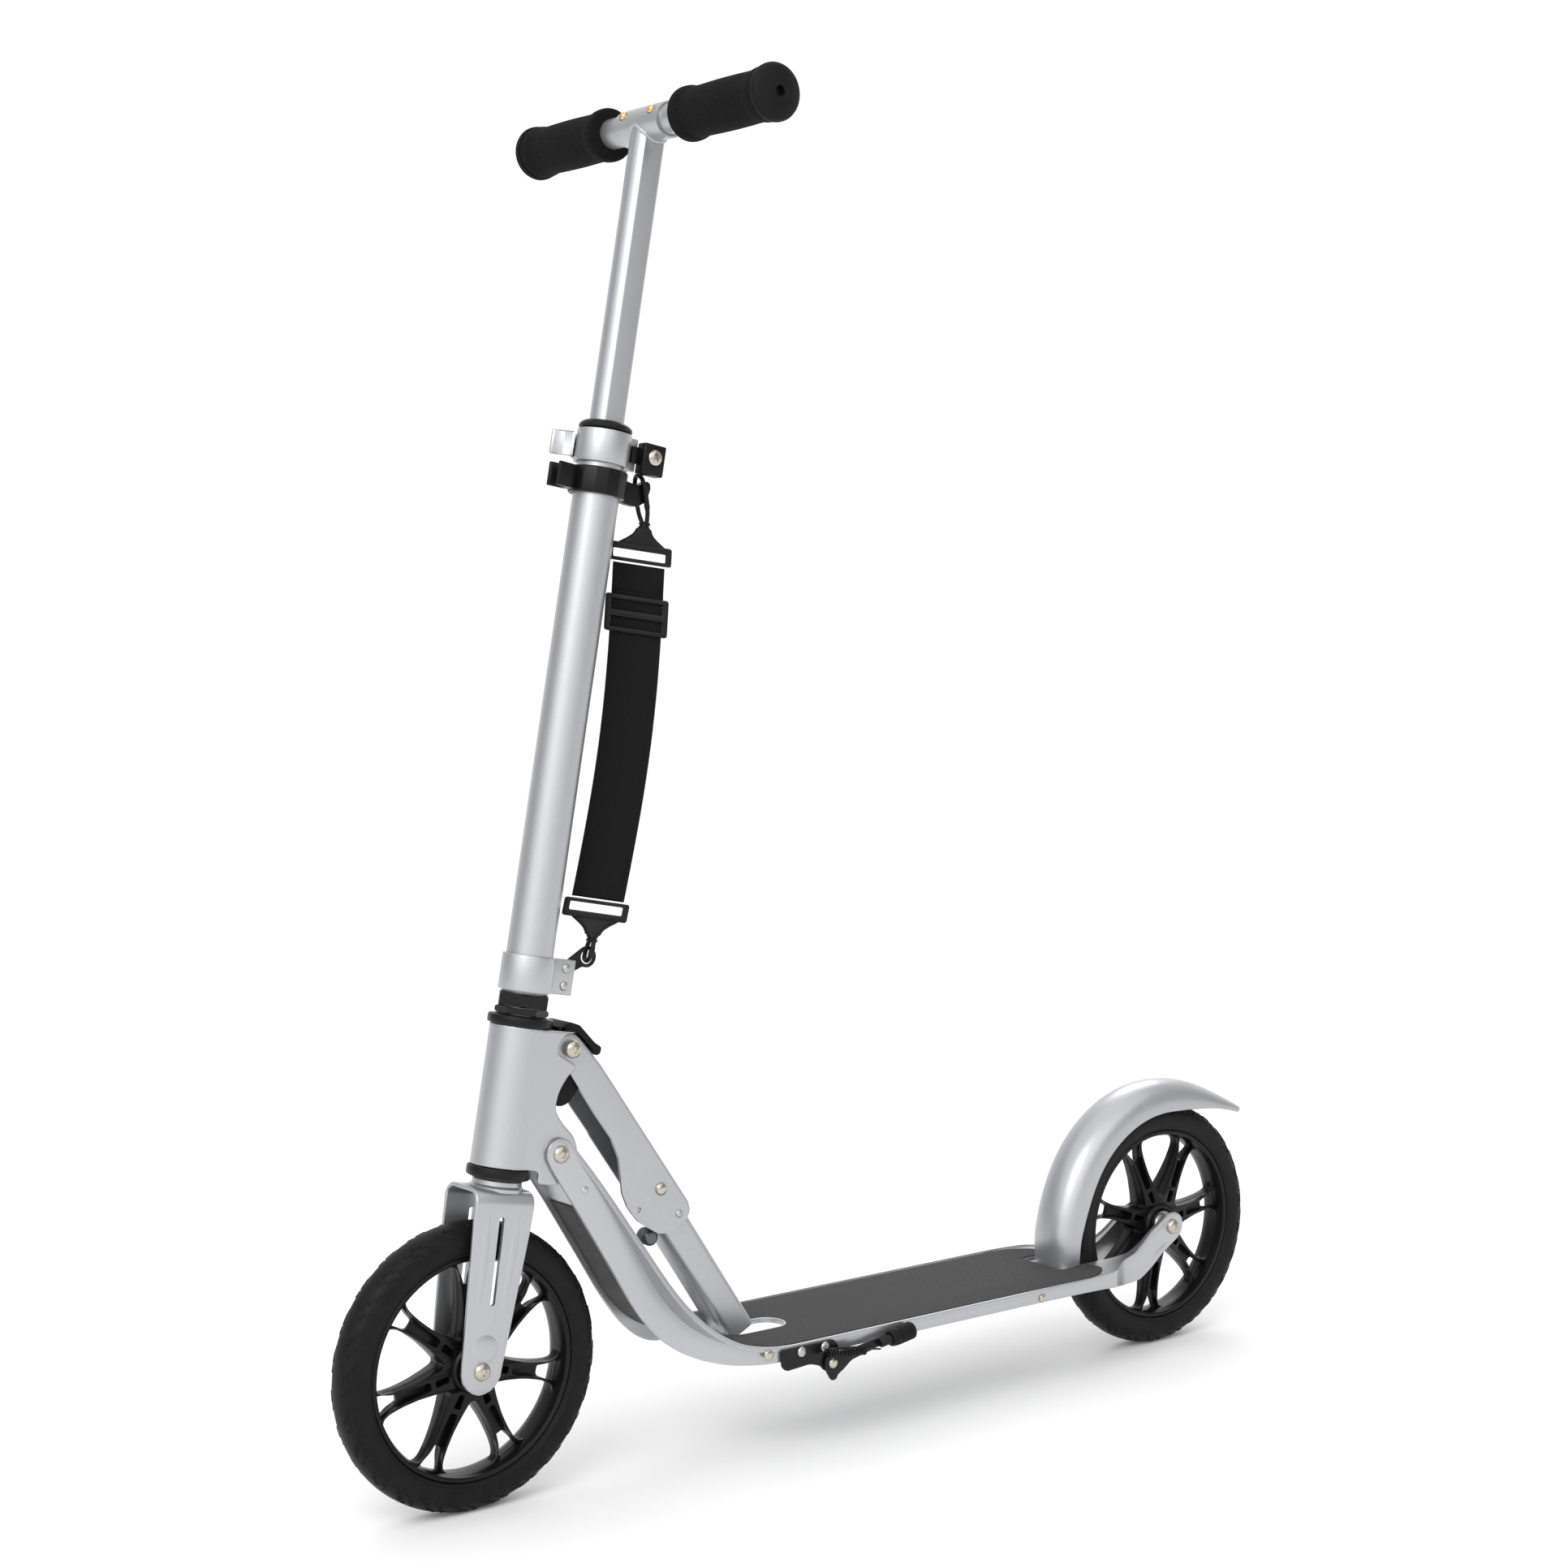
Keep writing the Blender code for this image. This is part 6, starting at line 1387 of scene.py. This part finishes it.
def bracket():
    """Pressed channel, open to the front: back wall with rounded bends into two lobed sides."""
    low = [(-0.0108, 0.0), (-0.0103, -0.0035), (-0.0085, -0.0070), (-0.0050, -0.0096), (-0.0010, -0.0108),
        (0.0160, -0.0108),
           (0.0520, -0.0118), (LB * 0.56, -0.0114), (LB * 0.68, -0.0150), (LB * 0.77, -0.0215),
               (LB * 0.85, -0.0275),
           (LB * 0.93, -0.0298), (LB * 0.98, -0.0299), (LB * 1.045, -0.0290), (LB * 1.13, -0.0245),
               (LB * 1.19, -0.0208),
           (LB * 1.225, -0.0150), (LB * 1.243, -0.0060), (LB * 1.248, 0.0050)]
    high = [(-0.0108, 0.0004), (-0.0103, 0.0035), (-0.0075, 0.0078), (-0.0040, 0.0102), (0.0, 0.0112),
        (0.0120, 0.0125),
            (0.0270, 0.0140), (LB * 1.18, 0.0140), (LB * 1.225, 0.0122), (LB * 1.243, 0.0090),
                (LB * 1.248, 0.0056)]
    t, w = 0.0020, BRACKET_HW
    rings = []
    for a in sorted(set([x for x, _ in low + high] + list(np.linspace(0.004, LB * 1.17, 60)))):
        b0 = float(np.interp(a, *zip(*low)))
        b1 = max(float(np.interp(a, *zip(*high))), b0 + 0.0004)
        r = min(0.0034, (b1 - b0) * 0.45)
        outer = [(w, b0 + 0.0002), (w, b1 - r)] + [(w - r + r * math.cos(math.radians(g)),
            b1 - r + r * math.sin(math.radians(g)))
                                                  for g in (15, 30, 45, 60, 75, 90)]
        q = max(r - t, 0.0002)
        inner = [(w - t, b0 + 0.0002), (w - t, b1 - t - q)] + [
            (w - t - q + q * math.cos(math.radians(g)),
                b1 - t - q + q * math.sin(math.radians(g))) for g in (15, 30, 45, 60, 75, 90)]
        inner = [(y, max(b, b0 + 0.0002)) for y, b in inner]
        b2 = max(b0, -0.0120)
        half = [(y, max(b, b2 + 0.0002)) for y, b in outer] + [(-y, b) for y, b in reversed(outer)]
        back = [(-y, b) for y, b in inner] + [(y, max(b, b2 + 0.0002)) for y, b in reversed(inner)]
        tip = [(-w + t / 2, b0)]
        tip2 = [(w - t / 2, b2)]
        rings.append([BR @ Vector((a, y, b)) for y, b in half + tip + back + tip2])
    me = loft(rings)
    p = BR @ Vector((LB * 0.992, 0, -0.0236))
    far = Vector((0, 0.05, 0))
    me = cut(me, rod(p - far, p + far, 0.0023, 32), rod(UPPER_P - far, UPPER_P + far, 0.0034, 32))
    return piece("knee_bracket", me, "silver_alloy", "strut_bracket", angle=35)


bracket()
face = BRACKET_HW + 0.0003
piece("knee_stud", join(button_head(KNEE_P, 1, 0.0048, 0.0025, face),
    rod(KNEE_P + Vector((0, face - 0.0018, 0)),
                                                                          KNEE_P + Vector((0, face, 0)),
                                        0.0021, 24)),
      "bright_steel", "knee_rivet")
PIN_P = centre("catch_pin")
PIN_P.y = 0
piece("bracket_stud", join(button_head(PIN_P, 1, 0.0029, 0.0012, face, 0.0012, 0.0008),
                           rod(PIN_P + Vector((0, face - 0.0018, 0)), PIN_P + Vector((0, face, 0)), 0.0015,
                               20)),
      "zinc_steel", "catch_pin")

TB = local_frame(KNEE_P, FOOT_P - KNEE_P, "X")
LT = (FOOT_P - KNEE_P).length
slope = 0.0162 / LT


def strut_ring(x, w, z0, z1, r):
    pts = []
    for cy, cz, a in ((w - r, z1 - r, 0), (-w + r, z1 - r, 90), (-w + r, z0 + r, 180), (w - r, z0 + r, 270)):
        for q in np.linspace(0, 90, 8):
            g = math.radians(a + q)
            pts.append(TB @ Vector((x, cy + r * math.cos(g), cz + r * math.sin(g) + slope * x)))
    return pts


tube_body = loft([strut_ring(x, STRUT_HW, -0.0160, 0.0102, 0.0060) for x in (0.0, LT + 0.0015)])
y = Vector((0, STRUT_HW - 0.001, 0))
piece("strut_column", join(tube_body, rod(KNEE_P - y, KNEE_P + y, 0.0100, 64, 0.0006),
    rod(FOOT_P - y, FOOT_P + y, 0.0052, 40)),
      "silver_alloy", "strut_tube", angle=40)
REL_P = centre("fold_release")
m = Matrix.Translation(REL_P) @ ALONG_Y
knob = [(0, 0.0066), (0.0040, 0.0066), (0.0048, 0.0063), (0.0060, 0.0052), (0.0062, 0.0046), (0.0062, 0.0030),
    (0.0059, 0.0027),
        (0.0059, 0.0022), (0.0062, 0.0019)]
piece("release_knob", lathe(knob + [(r, -z) for r, z in reversed(knob)], m, 64), "black_steel",
    "fold_release",
      material=GUNMETAL)

# ---------------------------------------------------------------- side stand
lo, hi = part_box("stand_bracket")
kx0, kz, ky = hi.x, hi.z, lo.y
kb = [(kx0, kz), (kx0, kz - 0.0125), (kx0 - 0.0040, kz - 0.0165), (kx0 - 0.0260, kz - 0.0150),
    (kx0 - 0.0360, kz - 0.0180),
      (kx0 - 0.0400, kz - 0.0230), (kx0 - 0.0480, kz - 0.0240), (kx0 - 0.0530, kz - 0.0190),
          (kx0 - 0.0530, kz - 0.0050),
      (kx0 - 0.0490, kz)]
KP = pivot("stand_swing")
hole = arc(KP.x, KP.z, 0.0024, 0, 360, 24)[:-1]
BOLT_X = (HB - 0.2480, HB - 0.2700)
holes = [arc(x, DECK_Z - 0.0056, 0.0022, 0, 360, 24)[:-1] for x in BOLT_X] + [hole]
piece("stand_plate", plate(eased(kb, 0.0030, 4), (hi.y - ky) / 2,
    Matrix.Translation((0, (ky + hi.y) / 2, 0)) @ SIDE, holes,
                           edge=0.0006), "black_steel", "stand_bracket")
for i, x in enumerate(BOLT_X):
    at = Vector((x, 0, DECK_Z - 0.0056))
    head_me = button_head(at, 1, 0.0038, 0.0016, hi.y + 0.0003, 0.0016, 0.0010)
    shank = rod(at + Vector((0, hi.y - 0.006, 0)), at + Vector((0, hi.y + 0.0003, 0)), 0.0019, 24)
    piece("stand_fixing_%d" % (i + 1), join(head_me, shank), "zinc_steel", "stand_bolt_%d" % (i + 1),
        angle=38)
leg = [(KP.x + 0.0075, KP.z + 0.0020), (KP.x + 0.0060, KP.z - 0.0050), (KP.x + 0.0010, KP.z - 0.0135),
       (KP.x - 0.0035, KP.z - 0.0130), (KP.x - 0.0050, KP.z - 0.0095), (KP.x - 0.0100, KP.z - 0.0070),
       (KP.x - 0.0180, KP.z - 0.0010), (KP.x - 0.0520, KP.z + 0.0060), (KP.x - 0.0520, KP.z + 0.0120),
       (KP.x - 0.0200, KP.z + 0.0075), (KP.x + 0.0040, KP.z + 0.0075)]
LY0, LY1 = ky + 0.0027, ky + 0.0050
mleg = Matrix.Translation((KP.x - 0.050, (LY0 + LY1) / 2 + 0.0026,
    KP.z + 0.0083)) @ Matrix.Rotation(math.radians(-81), 4, "Y")
leg_me = plate(eased(leg, 0.0025, 4), (LY1 - LY0) / 2, Matrix.Translation((0, (LY0 + LY1) / 2, 0)) @ SIDE,
    [hole], edge=0.0005)
leg_bar = lathe([(0, 0.0240), (0.0036, 0.0240), (0.0036, -0.0050), (0.0030, -0.0060), (0, -0.0060)], mleg, 40)
piece("stand_arm", join(leg_me, leg_bar), "black_steel", "stand_leg")
foot = [(0.0038, 0.0040), (0.0056, 0.0040), (0.0059, 0.0046), (0.0066, 0.0080), (0.0068, 0.0100)]
for k in range(5):
    z = 0.0112 + 0.0026 * k
    foot += [(0.0068, z), (0.0063, z + 0.0005), (0.0063, z + 0.0011), (0.0068, z + 0.0016)]
foot += [(0.0068, 0.0243), (0.0064, 0.0256), (0.0058, 0.0262), (0.0030, 0.0262), (0.0030, 0.0243),
    (0.0038, 0.0243)]
piece("stand_shoe", lathe(closed(foot), mleg, 56), "black_rubber", "stand_foot")
at = Vector((KP.x, 0, KP.z))
half = LY1 + 0.0003
piece("stand_pin", join(button_head(at, 1, 0.0040, 0.0018, half, 0.0),
    rod(at + Vector((0, ky + 0.0002, 0)), at + Vector((0, half, 0)), 0.0021, 24)),
      "bright_steel", "stand_pivot")
sp0 = Vector((kx0 - 0.0300, LY1 + 0.0042, kz - 0.0060))
sp1 = Vector((kx0 - 0.0880, LY1 + 0.0042, kz - 0.0130))
run = sp1 - sp0
turn = run.normalized().to_track_quat("Z", "Y")
coil = []
for i in range(14 * 16 + 1):
    g = 2 * math.pi * i / 16
    coil.append(sp0 + run * (0.12 + 0.62 * i / (14 * 16)) + turn @ Vector((0.0030 * math.cos(g),
        0.0030 * math.sin(g), 0)))
piece("stand_coil", tube([sp0] + coil + [sp1], 0.0007, 2), "black_steel", "stand_spring")

# ---------------------------------------------------------------- stage, light and camera
def studio():
    scene = bpy.context.scene
    scene.view_settings.view_transform = "Standard"
    world = bpy.data.worlds.new("studio")
    scene.world = world
    world.use_nodes = True
    sky = world.node_tree
    back = sky.nodes["Background"]
    back.inputs["Color"].default_value = (1, 1, 1, 1)
    # white ahead of and behind the object, a little darker to both sides, so that round metal keeps its shape
    to = sky.nodes.new("ShaderNodeTexCoord")
    dot = sky.nodes.new("ShaderNodeVectorMath")
    dot.operation = "DOT_PRODUCT"
    dot.inputs[1].default_value = (0.62, 0.78, 0)
    size = sky.nodes.new("ShaderNodeMath")
    size.operation = "ABSOLUTE"
    level = sky.nodes.new("ShaderNodeMapRange")
    level.interpolation_type = "SMOOTHSTEP"
    level.inputs["From Min"].default_value, level.inputs["From Max"].default_value = 0.15, 0.93
    level.inputs["To Min"].default_value, level.inputs["To Max"].default_value = 0.45, 1.08
    sky.links.new(to.outputs["Generated"], dot.inputs[0])
    sky.links.new(dot.outputs["Value"], size.inputs[0])
    sky.links.new(size.outputs[0], level.inputs["Value"])
    sky.links.new(level.outputs["Result"], back.inputs["Strength"])
    ground = Shader("pale_floor", (0.93, 0.93, 0.93), 0.0, 0.85, 0.2)
    ground.tint(ground.noise(3.0), [(0.3, 0.925), (0.7, 0.935)])
    bm = bmesh.new()
    bmesh.ops.create_circle(bm, cap_ends=True, radius=30, segments=96)
    me = bpy.data.meshes.new("floor")
    bm.to_mesh(me)
    bm.free()
    me.materials.append(ground.m)
    floor = bpy.data.objects.new("floor", me)
    scene.collection.objects.link(floor)
    floor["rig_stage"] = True
    for name, place, width, power in (("key", (2.4, 1.5, 2.6), 1.8, 30), ("rim", (-1.8, -1.6, 2.2), 1.6, 14)):
        light = bpy.data.lights.new(name, "AREA")
        light.shape, light.size, light.energy = "DISK", width, power
        ob = bpy.data.objects.new(name, light)
        scene.collection.objects.link(ob)
        ob.location = place
        ob.rotation_euler = (Vector((0, 0, 0.45)) - ob.location).to_track_quat("-Z", "Y").to_euler()
    sun = bpy.data.lights.new("ceiling", "SUN")
    sun.energy, sun.angle = 1.5, math.radians(110)
    ob = bpy.data.objects.new("ceiling", sun)
    scene.collection.objects.link(ob)
    ob.rotation_euler = (math.radians(-18), math.radians(22), 0)
    lens = bpy.data.cameras.new("camera")
    lens.lens, lens.sensor_width = 60.71, 36.0
    camera = bpy.data.objects.new("camera", lens)
    scene.collection.objects.link(camera)
    camera.location = (1.26358, 1.58806, 0.63604)
    camera.rotation_euler = (1.501433, 0.009088, 2.489598)
    scene.camera = camera


studio()

low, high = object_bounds()
